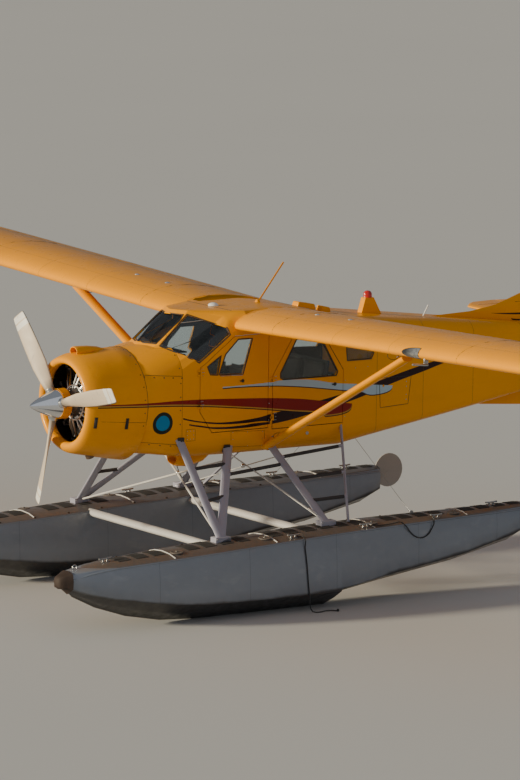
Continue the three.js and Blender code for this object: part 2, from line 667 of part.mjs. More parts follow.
// Floats: keel, chine, gunwale and crowned deck
const FLOAT_ROWS = [
  // x, keel, chine half beam, chine height, deck half beam, gunwale height, crown
  [880, -1870, 70, -1850, 66, -1745, 8],
  [740, -1992, 150, -1905, 140, -1700, 20],
  [420, -2150, 235, -1990, 220, -1666, 34],
  [0, -2290, 300, -2072, 275, -1642, 44],
  [-480, -2382, 345, -2145, 312, -1616, 48],
  [-950, KEEL, 368, -2185, 330, -1592, 50],
  [-1900, KEEL, 378, -2200, 338, -1546, 50],
  [STEP, KEEL, 378, -2200, 336, -1506, 50],
  [STEP - 4, -2310, 372, -2170, 336, -1506, 50],
  [-3600, -2195, 340, -2060, 310, -1488, 44],
  [-4700, -2045, 268, -1930, 245, -1470, 34],
  [-5540, -1870, 180, -1770, 168, -1446, 26],
  [STERN, -1765, 150, -1700, 145, -1440, 22],
];

function floatRing([x, keel, chine, chineZ, deck, gunwale, crown]) {
  const half = [
    [0, keel], [chine * 0.55, keel + (chineZ - keel) * 0.5], [chine - 12, chineZ - 8], [chine, chineZ],
    [(chine + deck) / 2 + 10, (chineZ + gunwale) / 2], [deck, gunwale - 10], [deck - 14, gunwale],
    [deck * 0.5, gunwale + crown * 0.75],
  ];
  const port = half.map(([y, z]) => new THREE.Vector3(x, TRACK_HALF + y, z));
  const top = new THREE.Vector3(x, TRACK_HALF, gunwale + crown);
  const starboard = half.slice(1).reverse().map(([y, z]) => new THREE.Vector3(x, TRACK_HALF - y, z));
  return [...port, top, ...starboard];
}
const float = surface(solid(loft(FLOAT_ROWS.map(floatRing))));

// Water rudders: a plate on an arm, lifted behind the stern, pinned in a fork
const WATER_RUDDER = {
  hinge: STERN - 72, height: -1645, back: 160, up: 145, radius: 215, thickness: 12, arm: 24,
};
const forkPin = [WATER_RUDDER.hinge, TRACK_HALF, WATER_RUDDER.height];
const acrossPin = (reach, diameter) => rod(
  [forkPin[0], forkPin[1] - reach, forkPin[2]], [forkPin[0], forkPin[1] + reach, forkPin[2]], diameter, 12);
const forkPlate = (side) => block(
  (STERN + 10 + WATER_RUDDER.hinge - 18) / 2, TRACK_HALF + side * 24, WATER_RUDDER.height, 100, 12, 36);
addPair("float", surface(join(float, forkPlate(-1), forkPlate(1), acrossPin(30, 16))), ALUMINIUM);

const plate = new THREE.CylinderGeometry(WATER_RUDDER.radius, WATER_RUDDER.radius, WATER_RUDDER.thickness, 24);
plate.translate(WATER_RUDDER.hinge - WATER_RUDDER.back, TRACK_HALF, WATER_RUDDER.height + WATER_RUDDER.up);
const rudderArm = strut(
  [WATER_RUDDER.hinge + 8, TRACK_HALF, WATER_RUDDER.height - 8],
  [WATER_RUDDER.hinge - 150, TRACK_HALF, WATER_RUDDER.height + 135], 44, WATER_RUDDER.arm, 8);
addPair("water_rudder", surface(join(plate, rudderArm).subtract(solid(acrossPin(60, 16 + 2 * GAP)))), STEEL);

// Float struts and their fittings on the deck
function deckHeight(station) {
  const after = FLOAT_ROWS.findIndex((row) => row[0] <= station);
  const [front, rear] = [FLOAT_ROWS[after - 1], FLOAT_ROWS[after]];
  const share = (front[0] - station) / (front[0] - rear[0]);
  const top = (row) => row[5] + row[6];
  return top(front) + (top(rear) - top(front)) * share;
}
const SIDE = HALF_WIDTH + GAP;
const raised = float.clone();
raised.translate(0, 0, GAP);
const floatSolid = solid(float).add(solid(raised));
const FRONT_STRUT_TOP = [-1343, SIDE + 24, -493];
const SECOND_STRUT_TOP = [-2012, SIDE + 24, -622];
const REAR_STRUT_TOP = [-2662, SIDE + 24, -640];
const frontFoot = [FRONT_FITTING, TRACK_HALF, deckHeight(FRONT_FITTING) + 28];
const rearFoot = [REAR_FITTING, TRACK_HALF, deckHeight(REAR_FITTING) + 28];

const LEG = { chord: 118, thickness: 44, intoBody: 1.06 };
const intoBody = (top, foot) => between(foot, top, LEG.intoBody);
const leg = (top, foot, margin = 0) => (
  strut(intoBody(top, foot), foot, LEG.chord + margin, LEG.thickness + margin, 12));
const fitting = ([x, y, z], margin = 0) => block(x, y, z - 10, 210 + margin, 120 + margin, 70 + margin);

// Steps: how far down each leg or pole they join the two
const STEP_DIAMETER = 40;
const STEPS = {
  front: [[0.27, 0.15], [0.61, 0.52]],
  middle: [0.28, 0.215],
  rear: [[0.13, 0.19], [0.42, 0.47], [0.71, 0.73]],
};
const step = (legA, a, legB, b) => rod(between(...legA, a), between(...legB, b), STEP_DIAMETER, 8);
const frontLine = [FRONT_STRUT_TOP, frontFoot];
const secondLine = [SECOND_STRUT_TOP, frontFoot];
const rearLine = [REAR_STRUT_TOP, rearFoot];
const MARGIN = 2 * GAP;
const rearLeg = join(leg(REAR_STRUT_TOP, rearFoot), fitting(rearFoot));
const rearLegSkin = join(leg(REAR_STRUT_TOP, rearFoot, MARGIN), fitting(rearFoot, MARGIN));
const frontLegs = join(
  leg(FRONT_STRUT_TOP, frontFoot), leg(SECOND_STRUT_TOP, frontFoot), fitting(frontFoot),
  ...STEPS.front.map(([a, b]) => step(frontLine, a, secondLine, b)),
  step(secondLine, STEPS.middle[0], rearLine, STEPS.middle[1]),
);
const frontLegSkin = join(
  leg(FRONT_STRUT_TOP, frontFoot, MARGIN), leg(SECOND_STRUT_TOP, frontFoot, MARGIN),
  fitting(frontFoot, MARGIN),
);
addPair("rear_float_strut", surface(cut(rearLeg, floatSolid, skin, wingStrutSkin)), GREY_PAINT);
addPair("front_float_strut", surface(cut(frontLegs, floatSolid, rearLegSkin, skin, accessorySkin)), GREY_PAINT);

// Boarding ladder: a pole from the deck to the fuselage side, with rungs to the rear strut
const POLE_FOOT = [-3166, 1560, deckHeight(-3166) + 4];
const POLE_TOP = [-3671, SIDE + 16, -474];
const rungs = STEPS.rear.map(([a, b]) => step(rearLine, a, [POLE_TOP, POLE_FOOT], b));
const ladder = join(rod(intoBody(POLE_TOP, POLE_FOOT), POLE_FOOT, 34, 8), ...rungs);
addPair("ladder", surface(cut(ladder, rearLegSkin, floatSolid, skin)), GREY_PAINT);

// The float with a little air round it
const grown = ([x, keel, chine, chineZ, deck, gunwale, crown]) => (
  floatRing([x, keel - GAP, chine + GAP, chineZ, deck + GAP, gunwale + GAP, crown]));
const floatSkin = solid(loft(FLOAT_ROWS.map(grown)));

// Bow bumper: a rubber cap over the stem, with rows as the float's
const BUMPER_ROWS = [
  [BOW_TIP, -1852, 40, -1842, 38, -1775, 10],
  [BOW_TIP - 22, -1885, 76, -1868, 72, -1748, 14],
  [880, -1893, 94, -1862, 90, -1732, 16],
  [800, -1962, 136, -1884, 128, -1702, 20],
];
addPair("bow_bumper", surface(solid(loft(BUMPER_ROWS.map(floatRing))).subtract(floatSkin)), RUBBER);

// Spreader bars between the floats: station and depth under the deck
const SPREADERS = { front_spreader_bar: [FRONT_FITTING + 20, 82], rear_spreader_bar: [REAR_FITTING + 70, 115] };
for (const [name, [station, depth]] of Object.entries(SPREADERS)) {
  const height = deckHeight(station) - depth;
  const bar = solid(strut([station, -TRACK_HALF, height], [station, TRACK_HALF, height], 130, 92, 16));
  addMesh(name, surface(cut(bar, floatSkin, solid(mirrored(surface(floatSkin))))), STEEL);
}

// Cross bracing in the plane of the front and of the rear struts
const BRACE_SHARE = 0.11;

function crossBrace(top, foot, legs, diameter) {
  const low = [foot[0], foot[1] - 40, foot[2] + 10];
  const high = between(top, foot, BRACE_SHARE);
  const wires = [1, -1].map((side) => rod(
    [low[0], side * low[1], low[2]], [high[0], -side * high[1], high[2]], diameter, 8));
  const around = [legs, floatSkin].flatMap((piece) => [piece, solid(mirrored(surface(piece)))]);
  return cut(join(...wires), ...around, skin);
}
addMesh("front_cross_brace", surface(crossBrace(SECOND_STRUT_TOP, frontFoot, frontLegSkin, 26)), STEEL);
addMesh("rear_cross_brace", surface(crossBrace(REAR_STRUT_TOP, rearFoot, rearLegSkin, 14)), STEEL);

// Tail: fin with its sternpost, tailplane, elevator and rudder
const STERNPOST = -8362;
const BAR = { radius: 18, clearance: 8 };
const FIN_ROWS = [
  // leading edge, height, half thickness
  [-5469, 560, 16], [-5480, 702, 20], [-6068, 722, 24], [-6454, 778, 28], [-6840, 905, 34], [-7250, 1150, 36],
  [-7620, 1440, 30], [-7860, 1570, 26], [-8080, 1620, 22],
];
const FIN_REAR = 22;
const finRing = ([front, height, half]) => {
  const chord = front - STERNPOST;
  return [[0, 0], [0.05, 0.6], [0.2, 1], [0.5, 1], [1, FIN_REAR / half]]
    .flatMap(([share, level], i) => (i ? [[front - share * chord, level * half]] : [[front, 0]]))
    .map(([x, y]) => [x, Math.min(y, half)]);
};
const finLoft = solid(loft(FIN_ROWS.map((row) => {
  const half = finRing(row);
  const ring = [...half, ...half.slice(1).reverse().map(([x, y]) => [x, -y])];
  return ring.map(([x, y]) => new THREE.Vector3(x, y, row[1]));
})));
const POST_FRONT = TAIL_END - 6;
const sternpost = block((POST_FRONT + STERNPOST) / 2, 0, 264, POST_FRONT - STERNPOST, 2 * FIN_REAR, 600);
const VENTRAL_OUTLINE = [
  [-5850, -380], [-6240, -457], [-6880, -505], [-7600, -556], [-8290, -590], [-8345, -560], [STERNPOST, -480],
  [STERNPOST, 0], [-7000, 0],
];
const ventral = plateAcross(VENTRAL_OUTLINE, -FIN_REAR, FIN_REAR);
const finPlate = finLoft.add(solid(sternpost)).add(solid(ventral));
const barHole = solid(block(TAILPLANE.hinge, 0, TAILPLANE.height, 2 * (BAR.radius + BAR.clearance) + 12, 200,
  2 * (BAR.radius + BAR.clearance)));
const elevatorHinges = [-1750, -650, 650, 1750].map((y) => surfaceHinge(
  [tailHinge, y, TAILPLANE.height], tailHinge + 48, [0, 1, 0]));
const rudderHinges = [80, 820, 1450].map((z) => surfaceHinge([RUDDER_HINGE, 0, z], STERNPOST + 8, [0, 0, 1]));
const tailplane = tailplaneSolid(0);
addMesh("tailplane", surface(withBrackets(tailplane, elevatorHinges)), YELLOW);
const coneSkin = solid(fuselage(TAIL_START, TAIL_END - GAP, -GAP)).subtract(tailSaddle);
addMesh("fin", surface(withBrackets(cut(finPlate, barHole, coneSkin, tailClear), rudderHinges)), YELLOW);

const wedge = (front, rear, half, rearHalf) => [
  [front, half], [front, -half], [rear, -rearHalf], [rear, rearHalf],
];
const ELEVATOR_HALF = [
  [tailHinge + 24, 110], [tailHinge + 24, tailSpan], [tailRear + 140, tailSpan - 20], [tailRear, tailSpan - 200],
  [tailRear, 420], [tailHinge - 60, 110],
];
const elevator = join(
  tailPlate(ELEVATOR_HALF, 16), tailPlate(ELEVATOR_HALF.map(([x, y]) => [x, -y]), 16),
  rod([tailHinge, -200, TAILPLANE.height], [tailHinge, 200, TAILPLANE.height], BAR.radius * 2, 12),
).intersect(solid(plateAcross(
  wedge(tailHinge + 30, tailRear - 10, 18, 5).map(([x, z]) => [x, TAILPLANE.height + z]),
  -tailSpan - 10, tailSpan + 10)));
addMesh("elevator", surface(withPins(elevator, elevatorHinges)), YELLOW);

const RUDDER_OUTLINE = [
  [RUDDER_HINGE + 24, 1640], [RUDDER_HINGE + 24, -60], [-8560, -80], [-8860, 60], [RUDDER_TRAILING_EDGE, 320],
  [RUDDER_TRAILING_EDGE, 900], [-8880, 1300], [-8720, 1540], [-8560, 1630],
];
const rudderTaper = loft([-200, 1800].map((height) => (
  wedge(RUDDER_HINGE + 30, RUDDER_TRAILING_EDGE - 10, 18, 5)
    .map(([x, y]) => new THREE.Vector3(x, y, height)))));
const rudder = solid(plateAcross(RUDDER_OUTLINE, -18, 18)).intersect(solid(rudderTaper));
addMesh("rudder", surface(withPins(rudder, rudderHinges)), YELLOW);

// Cabin: instrument panel, seats and bench
const insideWalls = solid(fuselage(FIREWALL, CABIN_REAR, CABIN_WALL + GAP));
const panel = solid(block(-1460, 0, 345, 40, 1300, 430)).intersect(insideWalls);
addMesh("instrument_panel", surface(panel), PANEL_BLACK);
const SEAT = [
  [-2060, FLOOR + GAP], [-2000, -210], [-1930, -180], [-1930, -100], [-2330, -120], [-2400, 330], [-2470, 330],
  [-2420, -180], [-2330, -210], [-2270, FLOOR + GAP],
];
addPair("front_seat", plateAcross(SEAT, 70, 470), LEATHER);
const BENCH = SEAT.map(([x, z]) => [x - 1150, z]);
addMesh("rear_bench", plateAcross(BENCH, -470, 470), LEATHER);

// On the back: beacon and whip aerial
const beacon = new THREE.LatheGeometry([[0, 0], [54, 0], [54, 40], [46, 64], [26, 80], [0, 85]]
  .map(([r, h]) => new THREE.Vector2(r, h)), 16);
beacon.rotateX(Math.PI / 2);
beacon.translate(-4500, 0, 994.5);
const beaconFoot = plateAcross([[-4365, 750], [-4715, 720], [-4562, 994], [-4438, 994]], -45, 45);
addMesh("beacon_fairing", surface(solid(beaconFoot).subtract(coneSkin)), YELLOW);
addMesh("beacon", surface(solid(beacon)), RED_LAMP);
const whip = solid(strut([-2850, 0, 1010], [-3237, 0, 1503], 24, 12, 8)).subtract(skin);
addMesh("whip_aerial", surface(whip), YELLOW);

// Under the nose: the oil cooler's fairing, and on top of the cowl the air scoop
const COOLER_RISE = 110;
const coolerRing = ([x, half, bottom]) => {
  const bowl = Array.from({ length: 11 }, (_, i) => {
    const angle = (i / 10) * Math.PI;
    return [Math.cos(angle) * half, bottom + COOLER_RISE * (1 - Math.sin(angle))];
  });
  return [...bowl, [-half, -560], [half, -560]].map(([y, z]) => new THREE.Vector3(x, y, z));
};
const roundRing = ([x, half, rise, height]) => Array.from({ length: 16 }, (_, i) => {
  const angle = (i / 16) * 2 * Math.PI;
  return new THREE.Vector3(x, Math.cos(angle) * half, height + Math.sin(angle) * rise);
});
const cooler = solid(loft([
  [-1655, 116, -860], [-1705, 130, -882], [-1860, 136, -896], [-2060, 114, -852], [-2300, 40, -700],
].map(coolerRing))).subtract(solid(loft([[-1645, 94, 52, -794], [-1845, 86, 48, -800]].map(roundRing))));
addMesh("oil_cooler_fairing", surface(cut(cooler, skin, accessorySkin)), YELLOW);
const scoop = solid(loft([
  [-240, 82, 58, 610], [-262, 90, 64, 610], [-420, 86, 62, 608], [-560, 60, 48, 604], [-660, 24, 22, 600],
].map(roundRing))).subtract(solid(loft([[-230, 72, 46, 612], [-400, 70, 46, 612]].map(roundRing))));
addMesh("air_scoop", surface(scoop.subtract(cowlFilled(GAP))), YELLOW);

aircraft.position.set(-(BOW_TIP + RUDDER_TRAILING_EDGE) / 2, 0, -KEEL);

export default aircraft;
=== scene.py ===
"""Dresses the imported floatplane: paint, glass, engine, rigging, float decks and cabin, with its stage."""

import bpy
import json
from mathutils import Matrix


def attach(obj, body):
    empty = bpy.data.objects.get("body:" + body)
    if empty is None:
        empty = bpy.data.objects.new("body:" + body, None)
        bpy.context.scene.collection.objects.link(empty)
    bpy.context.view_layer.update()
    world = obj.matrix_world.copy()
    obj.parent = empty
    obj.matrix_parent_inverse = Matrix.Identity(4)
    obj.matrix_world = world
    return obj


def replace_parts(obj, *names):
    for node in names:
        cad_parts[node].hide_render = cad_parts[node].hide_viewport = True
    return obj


bl_info = {
    "name": "Floatplane dressing",
    "version": (1, 0, 0),
    "blender": (4, 5, 0),
    "location": "View3D > Sidebar > Floatplane",
    "description": "Adds finishes and fine pieces to the packed floatplane, and a plain studio round it",
    "category": "Add Mesh",
}

import json
import math

import bpy
from mathutils import Matrix, Vector
from mathutils.bvhtree import BVHTree

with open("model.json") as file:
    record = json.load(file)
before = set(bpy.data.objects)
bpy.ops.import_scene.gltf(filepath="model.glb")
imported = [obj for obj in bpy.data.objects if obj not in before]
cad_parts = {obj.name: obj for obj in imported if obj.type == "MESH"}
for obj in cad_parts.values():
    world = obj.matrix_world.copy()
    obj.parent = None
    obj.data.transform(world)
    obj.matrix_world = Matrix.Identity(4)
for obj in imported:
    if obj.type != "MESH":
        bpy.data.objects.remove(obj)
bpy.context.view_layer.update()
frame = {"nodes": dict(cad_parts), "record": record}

SIDES = {"port": 1, "starboard": -1}
HUB = Vector((4.0, 0.0, 2.415))
TRACK_HALF = 1.552
DIHEDRAL = math.radians(2.05)
RIVET_RADIUS = 0.005
RIVET_HEIGHT = 0.0012


def at(x, y, z):
    """A place given from the propeller's hub: metres to the nose, to port and up."""
    return HUB + Vector((x, y, z))


# Finishes


class Finish:
    """A material in the making: its nodes, and short ways to join them."""

    def __init__(self, name, colour, roughness, metallic=0.0, **sockets):
        self.material = bpy.data.materials.new(name)
        self.material.use_nodes = True
        self.nodes = self.material.node_tree.nodes
        self.links = self.material.node_tree.links
        self.shader = self.nodes["Principled BSDF"]
        self.colour = (*colour, 1.0)
        self.roughness = roughness
        self.heights = []
        self.shader.inputs["Metallic"].default_value = metallic
        for socket, value in sockets.items():
            self.shader.inputs[socket.replace("_", " ")].default_value = value
        self.place = self.add("ShaderNodeTexCoord").outputs["Object"]
        split = self.add("ShaderNodeSeparateXYZ", Vector=self.place).outputs
        self.x, self.y, self.z = split[0], split[1], split[2]

    def add(self, kind, **inputs):
        node = self.nodes.new(kind)
        for name, value in inputs.items():
            self.feed(node.inputs[name.replace("_", " ")], value)
        return node

    def feed(self, socket, value):
        if isinstance(value, bpy.types.NodeSocket):
            self.links.new(value, socket)
        else:
            socket.default_value = value

    def calc(self, operation, *values):
        node = self.add("ShaderNodeMath")
        node.operation = operation
        for socket, value in zip(node.inputs, values):
            self.feed(socket, value)
        return node.outputs[0]

    def both(self, *masks):
        """Where every mask holds."""
        result = masks[0]
        for mask in masks[1:]:
            result = self.calc("MULTIPLY", result, mask)
        return result

    def mix(self, share, low, high):
        node = self.add("ShaderNodeMix")
        node.data_type = "RGBA"
        self.feed(node.inputs[0], share)
        for socket, value in ((node.inputs[6], low), (node.inputs[7], high)):
            self.feed(socket, value if isinstance(value, bpy.types.NodeSocket) else (*value[:3], 1.0))
        return node.outputs[2]

    def tint(self, share, colour):
        """Lays a colour over what is there."""
        self.colour = self.mix(share, self.colour, colour)

    def noise(self, scale, detail=3.0, stretch=(1.0, 1.0, 1.0)):
        place = self.add("ShaderNodeMapping", Vector=self.place, Scale=stretch).outputs[0]
        return self.add("ShaderNodeTexNoise", Vector=place, Scale=scale, Detail=detail).outputs[0]

    def spread(self, value, low, high, to_low=0.0, to_high=1.0):
        node = self.add("ShaderNodeMapRange", Value=value)
        for socket, number in zip(("From Min", "From Max", "To Min", "To Max"), (low, high, to_low, to_high)):
            self.feed(node.inputs[socket], number)
        return node.outputs[0]

    def height(self, points):
        """The height in the frame of a smooth line through (x, z) points from the hub, at each place's x."""
        stations = [HUB.x + x for x, _ in points]
        levels = [HUB.z + z for _, z in points]
        start, end, low, high = min(stations), max(stations), min(levels), max(levels) + 1e-4
        node = self.add("ShaderNodeFloatCurve", Value=self.spread(self.x, start, end))
        marks = sorted(((station - start) / (end - start), (level - low) / (high - low))
                       for station, level in zip(stations, levels))
        curve = node.mapping.curves[0]
        curve.points[0].location = marks[0]
        curve.points[1].location = marks[-1]
        for mark in marks[1:-1]:
            curve.points.new(*mark)
        node.mapping.update()
        return self.calc("MULTIPLY_ADD", node.outputs[0], high - low, low)

    def between(self, value, low, high):
        return self.both(self.calc("GREATER_THAN", value, low), self.calc("LESS_THAN", value, high))

    def stripe(self, upper, lower):
        """The mask of a stripe between two lines of (x, z) points, as long as the upper one."""
        ends = [HUB.x + x for x, _ in upper]
        inside = self.between(self.z, self.height(lower), self.height(upper))
        return self.both(inside, self.between(self.x, min(ends), max(ends)))

    def near(self, value, places, width):
        """Where the value lies within half the width of one of the places."""
        masks = [self.calc("COMPARE", value, place, width / 2) for place in places]
        result = masks[0]
        for mask in masks[1:]:
            result = self.calc("MAXIMUM", result, mask)
        return result

    def reach(self, one, other):
        """How far a place lies from the middle, by how far it lies from it along two axes."""
        squares = [self.calc("POWER", value, 2.0) for value in (one, other)]
        return self.calc("SQRT", self.calc("ADD", *squares))

    def rows(self, across, along, spacing, pitch):
        """Rivet heads in rows: the rows lie a spacing apart, and the heads a pitch apart in each."""
        off_row = self.calc("PINGPONG", across, spacing / 2)
        off_head = self.calc("PINGPONG", along, pitch / 2)
        return self.spread(self.reach(off_row, off_head), 0.0, RIVET_RADIUS, 1.0, 0.0)

    def rivets(self, one, other, spacings, pitch):
        """Raises rivet heads in rows that cross each other, with a spacing for each way."""
        heads = [self.rows(one, other, spacings[0], pitch), self.rows(other, one, spacings[1], pitch)]
        self.raise_by(self.calc("MAXIMUM", *heads), RIVET_HEIGHT)

    def facing(self):
        """The shares along x, y and z of the direction that the surface faces."""
        normal = self.add("ShaderNodeNewGeometry").outputs["True Normal"]
        return self.add("ShaderNodeSeparateXYZ", Vector=normal).outputs

    def raise_by(self, value, metres):
        """Adds to the relief: this many metres where the value is 1."""
        self.heights.append(self.calc("MULTIPLY", value, metres))

    def done(self):
        self.feed(self.shader.inputs["Base Color"], self.colour)
        self.feed(self.shader.inputs["Roughness"], self.roughness)
        if self.heights:
            total = self.heights[0]
            for more in self.heights[1:]:
                total = self.calc("ADD", total, more)
            bump = self.add("ShaderNodeBump", Height=total, Distance=1.0)
            self.links.new(bump.outputs[0], self.shader.inputs["Normal"])
        return self.material


# The edges of the stripes on the fuselage's sides, as (x, z) from the hub
RED_UPPER = [(-0.213, 0.050), (-0.894, 0.028), (-1.366, 0.027), (-2.251, -0.012), (-2.948, -0.063),
             (-3.406, -0.126), (-3.855, -0.194)]
RED_LOWER = [(-0.213, 0.034), (-0.894, 0.004), (-1.366, -0.022), (-2.253, -0.112), (-2.951, -0.203),
             (-3.421, -0.266), (-3.457, -0.302), (-3.855, -0.194)]
BLUE_UPPER = [(-1.945, 0.149), (-2.248, 0.148), (-2.653, 0.158), (-2.803, 0.168), (-3.649, 0.071),
              (-4.511, -0.028)]
BLUE_LOWER = [(-1.945, 0.134), (-2.249, 0.131), (-2.654, 0.114), (-2.805, 0.103), (-3.651, -0.007),
              (-4.006, -0.066), (-4.238, -0.116), (-4.511, -0.028)]
BAND_UPPER = [(-2.672, -0.227), (-2.810, -0.205), (-3.406, -0.112), (-3.775, -0.046), (-4.247, 0.041),
              (-5.024, 0.185), (-5.950, 0.320)]
BAND_LOWER = [(-2.672, -0.350), (-2.744, -0.346), (-3.268, -0.266), (-3.803, -0.166), (-4.096, -0.103),
              (-4.471, -0.009), (-5.128, 0.125), (-5.950, 0.318)]
PINS = (
    ([(-1.386, -0.183), (-1.501, -0.216), (-1.767, -0.263), (-1.977, -0.281), (-2.264, -0.276),
      (-2.637, -0.230)],
     [(-1.386, -0.204), (-1.634, -0.260), (-1.978, -0.305), (-2.265, -0.314), (-2.524, -0.309),
      (-2.637, -0.326)]),
    ([(-1.473, -0.265), (-1.625, -0.294), (-1.978, -0.338), (-2.265, -0.336), (-2.409, -0.325),
      (-2.637, -0.326)],
     [(-1.473, -0.282), (-1.625, -0.313), (-1.979, -0.363), (-2.266, -0.370), (-2.410, -0.365),
      (-2.637, -0.351)]),
)
FIN_LINES = (
    ([(-6.382, 0.680), (-6.825, 0.658), (-8.900, 0.600)],
     [(-6.382, 0.678), (-6.825, 0.634), (-8.900, 0.540)]),
    ([(-6.697, 0.594), (-6.828, 0.576), (-8.900, 0.470)],
     [(-6.697, 0.590), (-6.828, 0.551), (-8.900, 0.420)]),
)
RED_SHADOW = 0.026
RED_PINLINE = 0.014
BLUE_SHADOW = 0.012
BADGE = (-1.103, -0.229)
# Radius and colour, from the ring to the disc on it
BADGE_ROUNDS = ((0.134, (0.010, 0.018, 0.014)), (0.092, (0.01, 0.22, 0.45)))
FUSELAGE_SEAMS = (-1.371, -4.25, -5.02, -5.86, -6.7, -7.5)
WING_SEAMS = (1.43, 2.66, 3.79, 5.1, 6.3)
NOSE_SEAM = -2.34
# Rear and front station and colour of the walls' inner faces, in the cabin and in the cowl: the cabin's dark
# lining, then painted shade on the cowl's yellow inside behind its lip
INSIDES = ((-4.3, -1.38, (0.055, 0.052, 0.050)), (-0.9, -0.27, (0.020, 0.014, 0.008)))
CABIN_MIDDLE = 0.10
BLADE_BANDS = ((1.115, 1.185), (1.205, 1.285))
# The line below which the float is dark, as (x, z) from the hub
BOTTOM_LINE = [(0.95, -1.86), (0.42, -2.00), (-0.1, -2.09), (-0.95, -2.175), (-2.8, -2.175), (-3.6, -2.045),
               (-4.7, -1.91), (-5.76, -1.69)]
DECK_LEVEL = -1.66


def painted(name, colour, roughness=0.3):
    """Gloss paint on sheet metal: cloudy fading, streaks, uneven gloss and a fine ripple."""
    coat = Finish(name, colour, roughness, Coat_Weight=0.08, Coat_Roughness=0.10, Specular_IOR_Level=0.22)
    cloudy = coat.noise(1.3, 4.0)
    coat.tint(coat.spread(cloudy, 0.35, 0.75, 0.0, 0.22), [c * 0.72 for c in colour])
    streaks = coat.noise(5.0, 5.0, (0.35, 1.0, 2.2))
    coat.tint(coat.spread(streaks, 0.55, 0.8, 0.0, 0.16), [c * 0.6 for c in colour])
    coat.roughness = coat.spread(coat.noise(7.0), 0.3, 0.8, roughness * 0.8, roughness * 1.5)
    coat.raise_by(coat.noise(3.5, 2.0), 0.004)
    coat.raise_by(coat.noise(90.0, 2.0), 0.00012)
    return coat


def lowered(points, drop):
    return [(x, z - drop) for x, z in points]


def lay_stripes(coat, colours, sides):
    """The dark band and thin lines, and the red and the blue stripe with the lines under them."""
    layers = [
        (BAND_UPPER, BAND_LOWER, colours.maroon),
        *((upper, lower, colours.maroon) for upper, lower in PINS),
        (RED_UPPER, lowered(RED_LOWER, RED_SHADOW), colours.maroon),
        (RED_UPPER, lowered(RED_LOWER, RED_PINLINE), colours.gold),
        (RED_UPPER, RED_LOWER, colours.red),
        (BLUE_UPPER, lowered(BLUE_LOWER, BLUE_SHADOW), colours.maroon),
        (BLUE_UPPER, BLUE_LOWER, colours.blue),
    ]
    for upper, lower, colour in layers:
        coat.tint(coat.both(coat.stripe(upper, lower), sides), colour)


def lay_badge(coat, sides):
    """The plain round badge."""
    off_x = coat.calc("SUBTRACT", coat.x, HUB.x + BADGE[0])
    off_z = coat.calc("SUBTRACT", coat.z, HUB.z + BADGE[1])
    reach = coat.reach(off_x, off_z)
    for radius, colour in BADGE_ROUNDS:
        coat.tint(coat.both(coat.calc("LESS_THAN", reach, radius), sides), colour)


def lining_and_cowl_shade(coat):
    """Finishes the faces that look toward the fuselage's middle line as the inside of cabin and cowl: the
    cabin's dark lining, and painted shade inside the cowl.
    """
    facing = coat.facing()
    level = coat.calc("SUBTRACT", coat.z, HUB.z + CABIN_MIDDLE)
    outward_share = coat.calc("MULTIPLY_ADD", facing[1], coat.y, coat.calc("MULTIPLY", facing[2], level))
    inward = coat.calc("LESS_THAN", outward_share, -0.05)
    # The cabin gets its lining's colour, the cowl's inside a painted shade
    for rear, front, colour in INSIDES:
        coat.tint(coat.both(inward, coat.between(coat.x, HUB.x + rear, HUB.x + front)), colour)


def fuselage_paint():
    colours = bpy.context.scene.floatplane_colours
    coat = painted("fuselage_paint", colours.yellow)
    seams = coat.near(coat.x, [HUB.x + station for station in FUSELAGE_SEAMS], 0.005)
    sides = coat.calc("GREATER_THAN", coat.calc("ABSOLUTE", coat.y), 0.05)
    lay_stripes(coat, colours, sides)
    lay_badge(coat, sides)
    coat.tint(coat.calc("MULTIPLY", seams, 0.75), (0.12, 0.06, 0.01))
    belly = coat.spread(coat.z, HUB.z - 0.45, HUB.z - 0.70, 0.0, 0.55)
    coat.tint(coat.both(belly, coat.noise(2.4, 5.0, (0.25, 1.0, 1.0))), (0.10, 0.06, 0.02))
    coat.rivets(coat.x, coat.z, (0.42, 0.40), 0.038)
    coat.raise_by(seams, -0.002)
    # The cabin's lining, and painted shade inside the cowl
    lining_and_cowl_shade(coat)
    return coat.done()


def wing_paint():
    colours = bpy.context.scene.floatplane_colours
    coat = painted("wing_paint", colours.yellow)
    span = coat.calc("ABSOLUTE", coat.y)
    seams = coat.near(span, WING_SEAMS, 0.006)
    nose = coat.near(coat.x, (HUB.x + NOSE_SEAM,), 0.005)
    lines = coat.calc("MAXIMUM", seams, nose)
    coat.tint(coat.calc("MULTIPLY", lines, 0.6), (0.16, 0.08, 0.01))
    coat.rivets(span, coat.x, (0.305, 0.40), 0.034)
    coat.raise_by(lines, -0.0015)
    return coat.done()


def tail_paint():
    colours = bpy.context.scene.floatplane_colours
    coat = painted("tail_paint", colours.yellow)
    for upper, lower in FIN_LINES:
        coat.tint(coat.stripe(upper, lower), colours.maroon)
    coat.raise_by(coat.rows(coat.z, coat.x, 0.30, 0.034), RIVET_HEIGHT)
    return coat.done()


def plain_paint(name, colour, roughness=0.3):
    coat = painted(name, colour, roughness)
    chips = coat.spread(coat.noise(38.0, 6.0), 0.66, 0.72)
    coat.tint(coat.calc("MULTIPLY", chips, 0.15), (0.10, 0.09, 0.08))
    return coat.done()


def blade_paint():
    colours = bpy.context.scene.floatplane_colours
    coat = painted("blade_paint", colours.blade, 0.35)
    reach = coat.reach(coat.y, coat.calc("SUBTRACT", coat.z, HUB.z))
    for low, high in BLADE_BANDS:
        coat.tint(coat.between(reach, low, high), (0.82, 0.80, 0.74))
    coat.tint(coat.spread(reach, 0.34, 0.22, 0.0, 0.6), (0.10, 0.09, 0.08))
    scuff = coat.spread(coat.noise(26.0, 6.0, (1.0, 1.0, 0.3)), 0.6, 0.72, 0.0, 0.4)
    coat.tint(scuff, (0.25, 0.24, 0.22))
    return coat.done()


